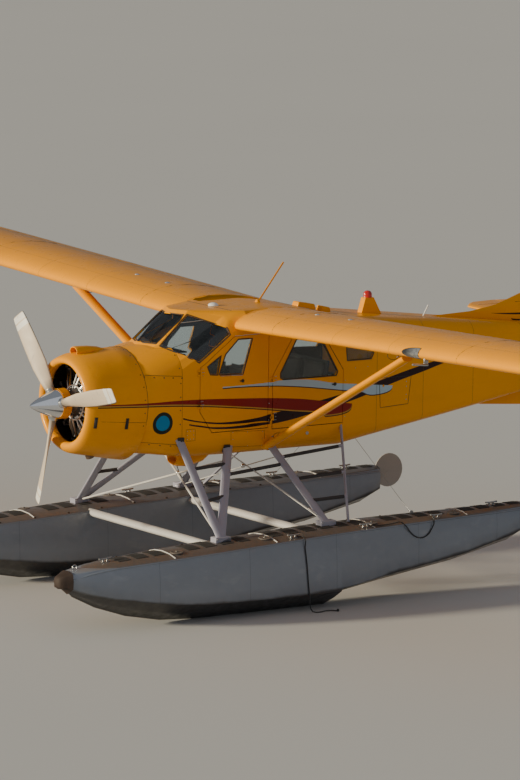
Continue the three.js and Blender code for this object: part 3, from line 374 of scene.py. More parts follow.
def polished(name, colour, roughness, grain=0.00008):
    metal = Finish(name, colour, roughness, 1.0)
    hazy = metal.noise(5.0, 5.0)
    metal.roughness = metal.spread(hazy, 0.3, 0.8, roughness * 0.6, roughness * 2.2)
    metal.tint(metal.spread(metal.noise(22.0, 4.0, (6.0, 1.0, 1.0)), 0.55, 0.75, 0.0, 0.25),
               [c * 0.6 for c in colour])
    metal.raise_by(metal.noise(60.0, 2.0, (8.0, 1.0, 1.0)), grain)
    return metal.done()


def float_metal():
    colours = bpy.context.scene.floatplane_colours
    metal = Finish("float_metal", colours.float_metal, 0.5, 0.5)
    blotchy = metal.noise(2.2, 6.0, (0.4, 1.0, 1.4))
    metal.tint(metal.spread(blotchy, 0.35, 0.75, 0.0, 0.4), [c * 0.72 for c in colours.float_metal])
    pale = metal.spread(metal.noise(7.0, 6.0, (0.5, 1.0, 1.0)), 0.60, 0.78, 0.0, 0.18)
    metal.tint(pale, (0.50, 0.52, 0.55))
    bottom = metal.height(BOTTOM_LINE)
    ragged = metal.calc("MULTIPLY", metal.noise(3.0, 5.0), 0.05)
    below = metal.spread(metal.calc("SUBTRACT", metal.calc("ADD", bottom, ragged), metal.z), 0.0, 0.03)
    metal.tint(metal.calc("MULTIPLY", below, 0.9), (0.035, 0.033, 0.035))
    above = metal.calc("SUBTRACT", metal.calc("ADD", bottom, 0.14), metal.z)
    stain = metal.spread(above, 0.0, 0.16, 0.0, 0.5)
    metal.tint(metal.both(stain, metal.noise(6.0, 5.0, (1.0, 1.0, 0.25))), (0.10, 0.085, 0.07))
    seams = metal.calc("COMPARE", metal.calc("PINGPONG", metal.x, 0.62), 0.0, 0.003)
    metal.tint(metal.calc("MULTIPLY", seams, 0.4), (0.06, 0.06, 0.07))
    level = metal.calc("GREATER_THAN", metal.facing()[2], 0.8)
    deck = metal.both(level, metal.calc("GREATER_THAN", metal.z, HUB.z + DECK_LEVEL))
    metal.tint(metal.calc("MULTIPLY", deck, 0.8), (0.17, 0.145, 0.125))
    metal.rivets(metal.x, metal.z, (1.24, 0.13), 0.03)
    metal.raise_by(metal.noise(4.0, 3.0), 0.006)
    metal.roughness = metal.spread(metal.noise(12.0, 4.0), 0.3, 0.8, 0.28, 0.55)
    return metal.done()


def rough_metal(name, colour, roughness=0.4, metallic=0.9):
    metal = Finish(name, colour, roughness, metallic)
    metal.tint(metal.spread(metal.noise(14.0, 5.0), 0.45, 0.75, 0.0, 0.5), [c * 0.5 for c in colour])
    metal.roughness = metal.spread(metal.noise(30.0, 3.0), 0.3, 0.8, roughness * 0.7, roughness * 1.4)
    metal.raise_by(metal.noise(120.0, 2.0), 0.0001)
    return metal.done()


def matte(name, colour, roughness=0.7, grain=140.0, depth=0.0002, **sockets):
    stuff = Finish(name, colour, roughness, **sockets)
    stuff.tint(stuff.spread(stuff.noise(11.0, 4.0), 0.4, 0.8, 0.0, 0.4),
               [min(1.0, c * 1.8 + 0.01) for c in colour])
    stuff.raise_by(stuff.noise(grain, 3.0), depth)
    return stuff.done()


def clear_glass():
    pane = Finish("window_glass", (0.78, 0.86, 0.88), 0.02, Transmission_Weight=1.0, IOR=1.45)
    smudge = pane.noise(9.0, 4.0)
    pane.roughness = pane.spread(smudge, 0.45, 0.8, 0.01, 0.09)
    return pane.done()


def lamp_glass(name, colour):
    lens = Finish(name, colour, 0.08, Coat_Weight=0.6)
    ribs = lens.calc("PINGPONG", lens.z, 0.006)
    lens.raise_by(ribs, 0.25)
    lens.tint(lens.spread(lens.noise(30.0), 0.4, 0.8, 0.0, 0.4), [c * 0.4 for c in colour])
    return lens.done()


def landing_reflector():
    """The bright bowl behind the landing lamp's pane, with painted shade toward the wing root."""
    bowl = Finish("lamp_reflector", (0.62, 0.62, 0.60), 0.12, 0.8, Coat_Weight=0.6)
    # Painted shade in the bowl, toward the wing root
    bowl.tint(bowl.spread(bowl.y, 4.30, 4.12, 0.0, 0.9), (0.06, 0.055, 0.05))
    bowl.tint(bowl.spread(bowl.noise(24.0, 3.0, (1.0, 1.0, 3.0)), 0.5, 0.6, 0.0, 0.5), (0.10, 0.10, 0.10))
    return bowl.done()


def leather():
    hide = Finish("seat_leather", (0.035, 0.03, 0.028), 0.5, Sheen_Weight=0.1)
    cells = hide.add("ShaderNodeTexVoronoi", Vector=hide.place, Scale=160.0).outputs["Distance"]
    hide.raise_by(cells, 0.0006)
    hide.tint(hide.spread(hide.noise(6.0), 0.4, 0.8, 0.0, 0.5), (0.08, 0.068, 0.06))
    return hide.done()


def rope_fibre(name, colour):
    """Strands, drawn as slanting bands by the rope's place in the frame, with painted shade in the grooves
    between them.
    """
    strand = Finish(name, colour, 0.85, Sheen_Weight=0.2)
    slant = strand.calc("ADD", strand.calc("ADD", strand.x, strand.y), strand.calc("MULTIPLY", strand.z, 1.6))
    lay = strand.calc("PINGPONG", slant, 0.008)
    strand.raise_by(lay, 0.3)
    # Painted shade, darkest in the grooves between the strands
    strand.tint(strand.spread(lay, 0.0, 0.004, 0.6, 0.0), [c * 0.3 for c in colour])
    return strand.done()


FINISHES = {}


def finish(name):
    """A finish by name, made the first time it is asked for."""
    if name not in FINISHES:
        colours = bpy.context.scene.floatplane_colours
        makers = {
            "fuselage": fuselage_paint,
            "wing": wing_paint,
            "tail": tail_paint,
            "yellow": lambda: plain_paint("plain_yellow", colours.yellow),
            "strut": lambda: plain_paint("strut_paint", colours.strut, 0.35),
            "blade": blade_paint,
            "spinner": lambda: polished("spinner_metal", (0.80, 0.82, 0.85), 0.05, 0.00001),
            "bare": lambda: polished("bare_metal", (0.62, 0.62, 0.62), 0.28),
            "float": float_metal,
            "steel": lambda: rough_metal("brushed_steel", (0.46, 0.46, 0.46), 0.35),
            "rudder_grey": lambda: plain_paint("water_rudder_grey", (0.40, 0.385, 0.36), 0.45),
            "rib": lambda: plain_paint("deck_rib_grey", (0.16, 0.14, 0.125), 0.5),
            "bar": lambda: plain_paint("bar_silver", (0.60, 0.59, 0.58), 0.28),
            "grip": lambda: matte("step_sleeve", (0.045, 0.042, 0.045), 0.8, 260.0, 0.0006),
            "reflector": landing_reflector,
            "engine": lambda: rough_metal("cylinder_metal", (0.09, 0.085, 0.08), 0.5, 0.7),
            "crankcase": lambda: rough_metal("crankcase_paint", (0.20, 0.205, 0.21), 0.4, 0.5),
            "cylinder": lambda: rough_metal("finned_metal", (0.17, 0.165, 0.16), 0.42, 0.85),
            "exhaust": lambda: rough_metal("exhaust_steel", (0.22, 0.15, 0.10), 0.55, 0.8),
            "glass": clear_glass,
            "seal": lambda: matte("window_seal", (0.02, 0.02, 0.022), 0.6),
            "rubber": lambda: matte("bumper_rubber", (0.030, 0.017, 0.012), 0.75, 60.0, 0.0006),
            "pad": lambda: matte("deck_grit", (0.028, 0.027, 0.027), 0.9, 320.0, 0.0008),
            "panel": lambda: matte("panel_black", (0.02, 0.02, 0.02), 0.5),
            "dial": lambda: matte("dial_face", (0.01, 0.01, 0.012), 0.3),
            "white": lambda: matte("white_plastic", (0.75, 0.74, 0.70), 0.4),
            "leather": leather,
            "red_lamp": lambda: lamp_glass("red_lamp", (0.55, 0.015, 0.01)),
            "clear_lamp": lambda: lamp_glass("clear_lamp", (0.75, 0.8, 0.82)),
            "green_lamp": lambda: lamp_glass("green_lamp", (0.01, 0.35, 0.10)),
            "black_rope": lambda: rope_fibre("black_rope", (0.02, 0.02, 0.022)),
        }
        FINISHES[name] = makers[name]()
    return FINISHES[name]


# Ways to model


def linked(obj):
    """Puts a new object into the scene."""
    bpy.context.scene.collection.objects.link(obj)
    return obj


def alone(obj=None):
    """Leaves only this object selected, or none."""
    bpy.ops.object.select_all(action="DESELECT")
    if obj:
        obj.select_set(True)
        bpy.context.view_layer.objects.active = obj
    return obj


def editing(obj, *steps):
    """Runs edit-mode steps on the whole of an object."""
    alone(obj)
    bpy.ops.object.mode_set(mode="EDIT")
    bpy.ops.mesh.select_all(action="SELECT")
    for step in steps:
        step()
    bpy.ops.object.mode_set(mode="OBJECT")
    return obj


def outward():
    bpy.ops.mesh.select_all(action="SELECT")
    bpy.ops.mesh.normals_make_consistent(inside=False)


def weld(distance=0.00002):
    bpy.ops.mesh.select_all(action="SELECT")
    bpy.ops.mesh.remove_doubles(threshold=distance)


def modified(obj, kind, **settings):
    """Adds a modifier and applies it."""
    alone(obj)
    modifier = obj.modifiers.new(kind.lower(), kind)
    for name, value in settings.items():
        setattr(modifier, name, value)
    bpy.ops.object.modifier_apply(modifier=modifier.name)
    return obj


def placed(obj, name, body, look, angle=35.0):
    """Gives a piece its name, finish and body, with its place in its mesh."""
    alone(obj)
    bpy.ops.object.transform_apply(location=True, rotation=True, scale=True)
    obj.name = name
    obj.data.name = name
    obj.data.materials.clear()
    obj.data.materials.append(finish(look))
    bpy.ops.object.shade_smooth_by_angle(angle=math.radians(angle))
    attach(obj, body)
    return obj


def joined(parts):
    """One object of several."""
    alone()
    for part in parts:
        part.select_set(True)
    bpy.context.view_layer.objects.active = parts[0]
    bpy.ops.object.join()
    return bpy.context.view_layer.objects.active


def slab(points, depth, bevel=0.0, segments=2):
    """A flat outline drawn out along a vector, with rounded edges."""
    alone()
    bpy.ops.mesh.primitive_circle_add(vertices=len(points), fill_type="NGON")
    obj = bpy.context.object
    for vertex, point in zip(obj.data.vertices, points):
        vertex.co = point
    editing(obj, lambda: bpy.ops.mesh.extrude_region_move(TRANSFORM_OT_translate={"value": tuple(depth)}),
            outward)
    if bevel:
        modified(obj, "BEVEL", width=bevel, segments=segments, limit_method="ANGLE",
                 angle_limit=math.radians(30))
    return obj


def lathe(profile, centre, axis=(1.0, 0.0, 0.0), steps=48):
    """Turns a profile of (along, out) points about an axis through the centre."""
    alone()
    bpy.ops.mesh.primitive_circle_add(vertices=len(profile), fill_type="NOTHING")
    obj = bpy.context.object
    axis = Vector(axis).normalized()
    out = axis.orthogonal().normalized()
    for vertex, (along, reach) in zip(obj.data.vertices, profile):
        vertex.co = centre + axis * along + out * reach
    return editing(
        obj,
        lambda: bpy.ops.mesh.spin(steps=steps, angle=2 * math.pi, center=tuple(centre), axis=tuple(axis)),
        weld,
        outward,
    )


def full_turn(count):
    """Evenly spaced angles of one turn."""
    return [i * 2 * math.pi / count for i in range(count)]


def hoop(centre, axis, radius, wire, steps, sides):
    """A ring of round wire about an axis through the centre."""
    profile = [(math.cos(a) * wire, radius + math.sin(a) * wire) for a in full_turn(sides)]
    return lathe(profile, centre, axis, steps)


def drawn(points, radius, sides=4, smooth=False, cyclic=False):
    """A curve through points that is round and this thick."""
    alone()
    bpy.ops.curve.primitive_nurbs_path_add()
    obj = bpy.context.object
    curve = obj.data
    curve.splines.clear()
    spline = curve.splines.new("NURBS" if smooth else "POLY")
    spline.points.add(len(points) - 1)
    for point, place in zip(spline.points, points):
        point.co = (*place, 1.0)
    if smooth:
        spline.order_u = 4
        spline.use_endpoint_u = not cyclic
        spline.resolution_u = 6
    spline.use_cyclic_u = cyclic
    curve.dimensions = "3D"
    curve.bevel_depth = radius
    curve.bevel_resolution = sides
    curve.use_fill_caps = not cyclic
    return obj


def tube(points, radius, sides=4, smooth=False, cyclic=False):
    """A round bar, wire or pipe through points."""
    alone(drawn(points, radius, sides, smooth, cyclic))
    bpy.ops.object.convert(target="MESH")
    return editing(bpy.context.object, weld, outward)


def ball(centre, size, segments=24):
    """A rounded lump: a sphere pressed to its size."""
    alone()
    bpy.ops.mesh.primitive_uv_sphere_add(segments=segments, ring_count=segments // 2, radius=0.5,
                                         location=tuple(centre))
    bpy.context.object.scale = size
    return bpy.context.object


def brick(centre, size, bevel, segments=2):
    """A block with rounded edges."""
    alone()
    bpy.ops.mesh.primitive_cube_add(size=1.0, location=tuple(centre))
    obj = bpy.context.object
    obj.scale = size
    bpy.ops.object.transform_apply(location=True, rotation=True, scale=True)
    return modified(obj, "BEVEL", width=bevel, segments=segments)


def stud(centre, axis, radius, height, sides=10):
    """A low domed screw or rivet head."""
    profile = [(0.0, 0.0), (0.0, radius), (height * 0.55, radius * 0.92), (height * 0.9, radius * 0.5),
               (height, 0.0)]
    return lathe(profile, Vector(centre), axis, sides)


def draped(surface, along, across, thickness, steps=(8, 4)):
    """A thin sheet that follows a surface given as a function of two numbers."""
    alone()
    bpy.ops.mesh.primitive_grid_add(x_subdivisions=steps[0], y_subdivisions=steps[1], size=2.0)
    obj = bpy.context.object
    for vertex in obj.data.vertices:
        a = along[0] + (along[1] - along[0]) * (vertex.co.x + 1) / 2
        b = across[0] + (across[1] - across[0]) * (vertex.co.y + 1) / 2
        vertex.co = surface(a, b)
    modified(obj, "SOLIDIFY", thickness=thickness, offset=0.0)
    return editing(obj, outward)


def smooth_copy(node, look, angle=32.0):
    """The solid of the frame with its corners welded and its curves smoothed, standing for it."""
    source = frame["nodes"][node]
    obj = linked(bpy.data.objects.new(f"{node}_skin", source.data.copy()))
    editing(obj, weld)
    body = next(name for name, members in frame["record"]["behaviour"]["bodies"].items() if node in members)
    placed(obj, f"{node}_skin", body, look, angle)
    modified(obj, "WEIGHTED_NORMAL", keep_sharp=True)
    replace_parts(obj, node)
    return obj


SURFACES = {}


def surface_at(node, start, direction):
    """Where a line first meets a solid of the frame, and the outward direction there."""
    if node not in SURFACES:
        mesh = frame["nodes"][node].data
        SURFACES[node] = BVHTree.FromPolygons([v.co for v in mesh.vertices],
                                              [p.vertices for p in mesh.polygons])
    place, normal, _, _ = SURFACES[node].ray_cast(Vector(start), Vector(direction))
    assert place, f"no surface of {node} there"
    return place, normal


def on_side(node, x, z, side):
    return surface_at(node, at(x, side * 9.0, z), (0, -side, 0))


def on_top(node, x, y):
    return surface_at(node, at(x, y, 5.0), (0, 0, -1))


def under(node, x, y):
    return surface_at(node, at(x, y, -5.0), (0, 0, 1))


def spaced(start, end, count):
    """Evenly spaced places from one to the other, both included."""
    return [tuple(a + (b - a) * i / (count - 1) for a, b in zip(start, end)) for i in range(count)]


def grown(outline, margin):
    """An outline moved out from its middle."""
    middle = [sum(values) / len(outline) for values in zip(*outline)]
    result = []
    for point in outline:
        off = Vector(point) - Vector(middle)
        result.append(tuple(Vector(point) + off.normalized() * margin))
    return result


def stance(place, normal, along=(1.0, 0.0, 0.0)):
    """The matrix that moves a piece modelled at the origin, upright and along x, onto a surface."""
    up = Vector(normal).normalized()
    along = Vector(along) if abs(up.dot(Vector(along))) < 0.95 else Vector((0.0, 0.0, 1.0))
    first = (along - up * along.dot(up)).normalized()
    return Matrix.Translation(place) @ Matrix((first, up.cross(first), up)).transposed().to_4x4()


def copies(obj, hits, along=(1.0, 0.0, 0.0)):
    """One object of copies of a piece modelled at the origin, one at each place on a surface."""
    parts = []
    alone(obj)
    bpy.ops.object.transform_apply(location=True, rotation=True, scale=True)
    for place, normal in hits:
        part = linked(obj.copy())
        part.data = obj.data.copy()
        part.matrix_world = stance(place, normal, along)
        parts.append(part)
    bpy.data.objects.remove(obj)
    return joined(parts)


def smoothed(places, count):
    """Evenly spaced points on a rounded line through places."""
    parts = 12
    line = []
    ends = [places[0] * 2 - places[1], *places, places[-1] * 2 - places[-2]]
    for a, b, c, d in zip(ends, ends[1:], ends[2:], ends[3:]):
        for i in range(parts):
            t = i / parts
            line.append(((b * 2) + (c - a) * t + (a * 2 - b * 5 + c * 4 - d) * t * t
                         + (b * 3 - a - c * 3 + d) * t ** 3) / 2)
    line.append(places[-1])
    reach = [0.0]
    for a, b in zip(line, line[1:]):
        reach.append(reach[-1] + (b - a).length)
    result = []
    for i in range(count):
        goal = reach[-1] * i / (count - 1)
        k = max(j for j in range(len(reach)) if reach[j] <= goal + 1e-9)
        if k >= len(line) - 1:
            result.append(line[-1])
        else:
            result.append(line[k].lerp(line[k + 1], (goal - reach[k]) / (reach[k + 1] - reach[k])))
    return result


def screws(name, hits, body="airframe", radius=0.007, height=0.004, look="steel"):
    """Domed heads at places on a surface."""
    return placed(copies(stud((0, 0, 0), (0, 0, 1), radius, height), hits), name, body, look)


def seam(name, hits, body="airframe", radius=0.0028, look="seal", cyclic=False):
    """A thin line let into a surface along places on it."""
    return placed(tube([place for place, _ in hits], radius, 2, cyclic=cyclic), name, body, look)


def outline_hits(node, outline, side, steps=1):
    """Places on a flank round an outline of (x, z) points, with steps along each edge."""
    ring = list(outline) + [outline[0]]
    return [on_side(node, *point, side) for start, end in zip(ring, ring[1:])
            for point in spaced(start, end, steps + 1)[:-1]]


# Sizes and colours that a user may change


def colour_property(name, description, value):
    return bpy.props.FloatVectorProperty(
        name=name, description=description, default=value, size=3, min=0.0, max=1.0, subtype="COLOR")


class FloatplaneColours(bpy.types.PropertyGroup):
    yellow: colour_property("Yellow", "The main paint", (0.92, 0.36, 0.0))
    red: colour_property("Red", "The wide stripe", (0.24, 0.006, 0.003))
    maroon: colour_property("Maroon", "The thin dark stripes", (0.022, 0.004, 0.006))
    blue: colour_property("Pale blue", "The stripe under the windows", (0.42, 0.56, 0.66))
    gold: colour_property("Gold", "The pinline under the red stripe", (0.55, 0.30, 0.04))
    blade: colour_property("Blades", "The propeller's paint", (0.68, 0.57, 0.44))
    strut: colour_property("Struts", "The float struts' paint", (0.36, 0.36, 0.44))
    float_metal: colour_property("Floats", "The floats' weathered metal", (0.26, 0.29, 0.345))


class FloatplaneSizes(bpy.types.PropertyGroup):
    stay: bpy.props.FloatProperty(
        name="Stay", description="Diameter of the bracing rods", default=0.012, min=0.004, max=0.03,
        unit="LENGTH")
    cable: bpy.props.FloatProperty(
        name="Cable", description="Diameter of the control cables", default=0.005, min=0.002, max=0.01,
        unit="LENGTH")
    rope: bpy.props.FloatProperty(
        name="Rope", description="Diameter of the mooring ropes", default=0.014, min=0.006, max=0.03,
        unit="LENGTH")
    pad: bpy.props.FloatProperty(
        name="Deck pad", description="Length of one anti-slip pad", default=0.16, min=0.05, max=0.5,
        unit="LENGTH")


# Pieces


class FLOATPLANE_OT_skins(bpy.types.Operator):
    """Smooths and paints the solids of the frame"""

    bl_idname = "floatplane.skins"
    bl_label = "Skins"

    LOOKS = {
        "fuselage": ["cabin_shell", "tail_cone", "accessory_cowl", "cockpit_door_*", "cabin_door_*"],
        "wing": ["wing_*", "flap_*", "aileron_*", "tailplane", "elevator"],
        "tail": ["fin", "rudder"],
        "yellow": ["wing_strut_*", "oil_cooler_fairing", "air_scoop", "whip_aerial", "beacon_fairing"],
        "float": ["float_*"],
        "strut": ["front_float_strut_*", "rear_float_strut_*", "ladder_*"],
        "bar": ["front_spreader_bar", "rear_spreader_bar", "front_cross_brace", "rear_cross_brace"],
        "steel": ["oil_tank"],
        "rudder_grey": ["water_rudder_*"],
        "rubber": ["bow_bumper_*"],
        "glass": ["windscreen", "side_pane_*", "rear_window_*", "cockpit_door_window_*", "quarter_window_*",
                  "cabin_door_window_*"],
        "engine": ["engine"],
        "panel": ["instrument_panel"],
        "red_lamp": ["beacon"],
    }

    # The cabin's flat panels meet at shallow angles and keep their edges
    SMOOTH = {"cabin_shell": 20.0}

    def execute(self, context):
        for look, names in self.LOOKS.items():
            for name in names:
                for side in SIDES if "*" in name else ("",):
                    node = name.replace("*", side)
                    smooth_copy(node, look, self.SMOOTH.get(node, 32.0))
        smooth_copy("propeller", "blade", 60.0)
        return {"FINISHED"}


class FLOATPLANE_OT_nose(bpy.types.Operator):
    """Makes the engine cowl with its seams, latches and screws, the intake, the cooler and the exhaust"""

    bl_idname = "floatplane.nose"
    bl_label = "Nose"

    # Half width, top and bottom of the cowl's outside at each station, then of its inside from rear to lip
    OUTSIDE = (
        (-0.090, 0.515, 0.515, 0.515), (-0.092, 0.526, 0.525, 0.527), (-0.099, 0.540, 0.538, 0.544),
        (-0.113, 0.553, 0.550, 0.562), (-0.135, 0.565, 0.560, 0.580), (-0.170, 0.580, 0.574, 0.598),
        (-0.230, 0.597, 0.590, 0.614), (-0.340, 0.612, 0.600, 0.636), (-0.500, 0.626, 0.610, 0.668),
        (-0.700, 0.637, 0.619, 0.706), (-0.874, 0.643, 0.629, 0.734), (-0.880, 0.640, 0.626, 0.731),
    )
    INSIDE = (
        (-0.880, 0.618, 0.604, 0.709), (-0.500, 0.598, 0.582, 0.640), (-0.310, 0.578, 0.572, 0.594),
        (-0.250, 0.520, 0.520, 0.520), (-0.210, 0.476, 0.476, 0.476), (-0.165, 0.463, 0.463, 0.463),
        (-0.125, 0.469, 0.469, 0.469), (-0.102, 0.484, 0.484, 0.484), (-0.092, 0.500, 0.500, 0.500),
    )
    SPLIT = ((-0.215, -0.150), (-0.872, -0.206))
    LATCHES = ((-0.200, -0.165), (-0.612, -0.200))
    UPPER_SEAM = ((-0.892, 0.350), (-1.362, 0.318))
    LOWER_SEAM = ((-0.892, -0.466), (-1.362, -0.508))
    SCREW_DROP = 0.022
    REAR_SEAM = -0.884
    # Each ring's name, node and station
    SCREW_RINGS = (("cowl_rear_screws", "nose_cowl", -0.846), ("firewall_screws", "accessory_cowl", -1.345))
    # Each rim's name, station, middle height, half width and half height
    RIMS = (("air_scoop_rim", -0.240, 0.611, 0.077, 0.052), ("cooler_lip", -1.655, -0.794, 0.099, 0.057))
    # Place and size of a black lump in the intake's mouth: painted shade for the dark duct behind the rim
    SCREEN = ((-0.335, 0, 0.612), (0.012, 0.138, 0.088))
    CORE_FINS = 9
    CORE_PITCH = 0.016
    EXHAUST = (-0.40, 0.08, -0.565)
    EXHAUST_LEAN = (-0.35, 0.0, -0.94)
    EXHAUST_PIPE = ((0.0, 0.046), (0.0, 0.052), (0.105, 0.052), (0.110, 0.049), (0.110, 0.046))

    def execute(self, context):
        self.cowl()
        for side, s in SIDES.items():
            seam(f"cowl_split_{side}", [on_side("nose_cowl", *p, s) for p in spaced(*self.SPLIT, 9)])
            latch = joined([brick((0, 0, 0.003), (0.040, 0.138, 0.010), 0.003),
                            brick((0, 0.004, 0.009), (0.020, 0.100, 0.010), 0.004),
                            stud((0, -0.040, 0.008), (0, 0, 1), 0.008, 0.010)])
            hits = [on_side("nose_cowl", *p, s) for p in self.LATCHES]
            placed(copies(latch, hits), f"cowl_latches_{side}", "airframe", "panel")
            for name, ends in (("upper", self.UPPER_SEAM), ("lower", self.LOWER_SEAM)):
                line = [on_side("accessory_cowl", *p, s) for p in spaced(*ends, 9)]
                seam(f"{name}_accessory_seam_{side}", line)
                below = [on_side("accessory_cowl", x, z - self.SCREW_DROP, s) for x, z in spaced(*ends, 5)]
                screws(f"{name}_accessory_screws_{side}", below, radius=0.009, look="panel")
        angles = [math.radians(a) for a in range(-112, 113, 7)]
        seam("cowl_rear_seam", self.round_cowl("accessory_cowl", self.REAR_SEAM, angles), radius=0.0065)
        for name, node, station in self.SCREW_RINGS:
            screws(name, self.round_cowl(node, station, angles[::2]), radius=0.008, look="panel")
        for name, station, height, half, rise in self.RIMS:
            ring = [at(station, math.cos(a) * half, height + math.sin(a) * rise) for a in full_turn(24)]
            placed(tube(ring, 0.006, 3, cyclic=True), name, "airframe", "yellow")
        # The intake's mouth is filled with painted shade
        place, size = self.SCREEN
        placed(ball(at(*place), size), "air_scoop_mouth_shade", "airframe", "panel")
        self.cooler_core()
        stack = lathe(self.EXHAUST_PIPE, at(*self.EXHAUST), self.EXHAUST_LEAN, 32)
        placed(stack, "exhaust_outlet", "airframe", "exhaust")
        return {"FINISHED"}

    def round_cowl(self, node, station, angles):
        """Places round a cowl at a station, by their angles from its top."""
        return [surface_at(node, at(station, 3 * math.sin(a), 3 * math.cos(a)),
                           (0, -math.sin(a), -math.cos(a)))
                for a in angles]

    def cooler_core(self):
        fins = []
        for i in range(self.CORE_FINS):
            middle = at(-1.79, -0.064 + self.CORE_PITCH * i, -0.798)
            fins.append(brick(middle, (0.05, 0.004, 0.084), 0.001, 1))
        placed(joined(fins), "oil_cooler_core", "airframe", "exhaust")

    def cowl(self):
        """Turned as a round shape, then pressed to its own height above and below the hub."""
        rows = self.OUTSIDE + self.INSIDE
        obj = lathe([(x, half) for x, half, _, _ in rows], at(0, 0, 0), steps=96)
        for vertex in obj.data.vertices:
            place = vertex.co - HUB
            reach = math.hypot(place.y, place.z)
            _, half, top, bottom = min(rows, key=lambda row: abs(row[0] - place.x) + abs(row[1] - reach))
            vertex.co.z = HUB.z + place.z * (top if place.z > 0 else bottom) / half
        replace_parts(placed(obj, "engine_cowl", "airframe", "fuselage"), "nose_cowl")


class FLOATPLANE_OT_propeller(bpy.types.Operator):
    """Makes the polished spinner, its backplate and the blade collars"""

    bl_idname = "floatplane.propeller"
    bl_label = "Propeller"

    BLADE_ANGLES = (12, 132, 252)
    TIP = 0.371
    RIM = 0.177
    CONE_STEPS = 24
    # Profiles as (along, out)
    BACKPLATE = ((-0.120, 0.090), (-0.120, 0.176), (-0.114, 0.183), (-0.012, 0.180), (-0.007, 0.176),
                 (-0.007, 0.090))
    COLLAR = ((0.140, 0.050), (0.140, 0.066), (0.176, 0.066), (0.186, 0.060), (0.196, 0.060),
              (0.200, 0.054), (0.200, 0.050))
    SCREW_STATION = -0.030
    SCREW_REACH = 0.1805

    def execute(self, context):
        shares = [i / self.CONE_STEPS for i in range(self.CONE_STEPS + 1)]
        cone = [(self.TIP * (1 - share ** 1.15), self.RIM * share ** 0.84) for share in shares]
        cone += [(-0.004, self.RIM), (-0.006, 0.170), (-0.006, 0.0)]
        spinner = lathe(cone, at(0, 0, 0), steps=96)
        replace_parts(placed(spinner, "spinner_cone", "propeller", "spinner", 60.0), "spinner")
        # The backplate is painted yellow: a painted reflection of the yellow cowl in the polished band
        placed(lathe(self.BACKPLATE, at(0, 0, 0), steps=72), "spinner_backplate", "propeller", "yellow")
        ring = []
        for angle in [math.radians(i * 20) for i in range(18)]:
            out = Vector((0, math.sin(angle), math.cos(angle)))
            ring.append((at(self.SCREW_STATION, 0, 0) + out * self.SCREW_REACH, out))
        screws("spinner_screws", ring, "propeller", 0.006, 0.0025)
        collars = []
        for degrees in self.BLADE_ANGLES:
            outwards = (0, math.cos(math.radians(degrees)), math.sin(math.radians(degrees)))
            collars.append(lathe(self.COLLAR, at(0, 0, 0), outwards, 36))
        placed(joined(collars), "blade_collars", "propeller", "bare")
        return {"FINISHED"}


class FLOATPLANE_OT_engine(bpy.types.Operator):
    """Makes what shows in the cowl's mouth: cylinders, push rod tubes, leads, nose case and baffle"""

    bl_idname = "floatplane.engine"
    bl_label = "Engine"

    PLANE = -0.50
    CYLINDERS = 9
    FINS = 13
    FIRST_FIN = 0.292
    FIN_PITCH = 0.0195
    # Profiles as (along, out)
    BAFFLE = ((-0.625, 0.10), (-0.625, 0.576), (-0.621, 0.576), (-0.621, 0.10))
    CASE = ((-0.142, 0.0), (-0.142, 0.050), (-0.182, 0.054), (-0.186, 0.092), (-0.236, 0.102),
            (-0.262, 0.125), (-0.270, 0.150), (-0.300, 0.190), (-0.318, 0.212), (-0.322, 0.232),
            (-0.338, 0.232), (-0.345, 0.226), (-0.395, 0.262), (-0.395, 0.0))
    GOVERNOR = ((0.0, 0.0), (0.0, 0.045), (0.07, 0.045), (0.08, 0.036), (0.08, 0.0))
    PLUG = ((0.0, 0.0), (0.0, 0.013), (0.05, 0.013), (0.055, 0.009), (0.055, 0.0))
    # Round one cylinder: ahead of it, across it and out along it
    LEAD = ((0.245, 0.0, 0.195), (0.25, 0.02, 0.29), (0.19, 0.03, 0.41), (0.105, 0.0, 0.465))

    def execute(self, context):
        turns = [math.pi / 2 + 2 * math.pi * i / self.CYLINDERS for i in range(self.CYLINDERS)]
        hits = [(at(self.PLANE, 0, 0), (0, math.cos(a), math.sin(a))) for a in turns]
        fins = []
        for i in range(self.FINS):
            base = self.FIRST_FIN + i * self.FIN_PITCH
            fins += [(base, 0.080), (base, 0.103), (base + 0.007, 0.103), (base + 0.007, 0.080)]
        profile = [(0.250, 0.0), (0.250, 0.080), *fins, (0.548, 0.070), (0.552, 0.0)]
        barrel = lathe(profile, Vector((0, 0, 0)), (0, 0, 1), 28)
        placed(copies(barrel, hits), "cylinder_barrels", "airframe", "cylinder")
        covers = joined([brick((0.066, t, 0.540), (0.098, 0.062, 0.048), 0.014, 3) for t in (-0.058, 0.058)])
        placed(copies(covers, hits), "rocker_covers", "airframe", "crankcase")
        rods = joined([tube([(0.252, t * 0.4, 0.165), (0.094, t, 0.535)], 0.0145, 3)
                       for t in (-0.056, 0.056)])
        placed(copies(rods, hits), "push_rod_tubes", "airframe", "bare")
        plug = lathe(self.PLUG, Vector((0.085, 0, 0.465)), (1, 0, 0), 12)
        plugs = joined([tube(self.LEAD, 0.0075, 3, smooth=True), plug])
        placed(copies(plugs, hits), "plug_leads", "airframe", "bare")
        harness = hoop(at(-0.255, 0, 0), (1.0, 0.0, 0.0), 0.205, 0.013, 64, 10)
        placed(harness, "ignition_ring", "airframe", "bare")
        placed(lathe(self.BAFFLE, at(0, 0, 0), steps=64), "engine_baffle", "airframe", "engine")
        placed(lathe(self.CASE, at(0, 0, 0), steps=64), "nose_case", "airframe", "crankcase")
        nuts = [(at(-0.320, math.cos(a) * 0.223, math.sin(a) * 0.223), (1, 0, 0)) for a in
                [math.radians(i * 15) for i in range(24)]]
        screws("nose_case_nuts", nuts, radius=0.010, height=0.012, look="bare")
        governor = lathe(self.GOVERNOR, at(-0.24, 0.045, 0.10), (0.35, 0.5, 0.8), 24)
        placed(governor, "propeller_governor", "airframe", "crankcase")
        return {"FINISHED"}


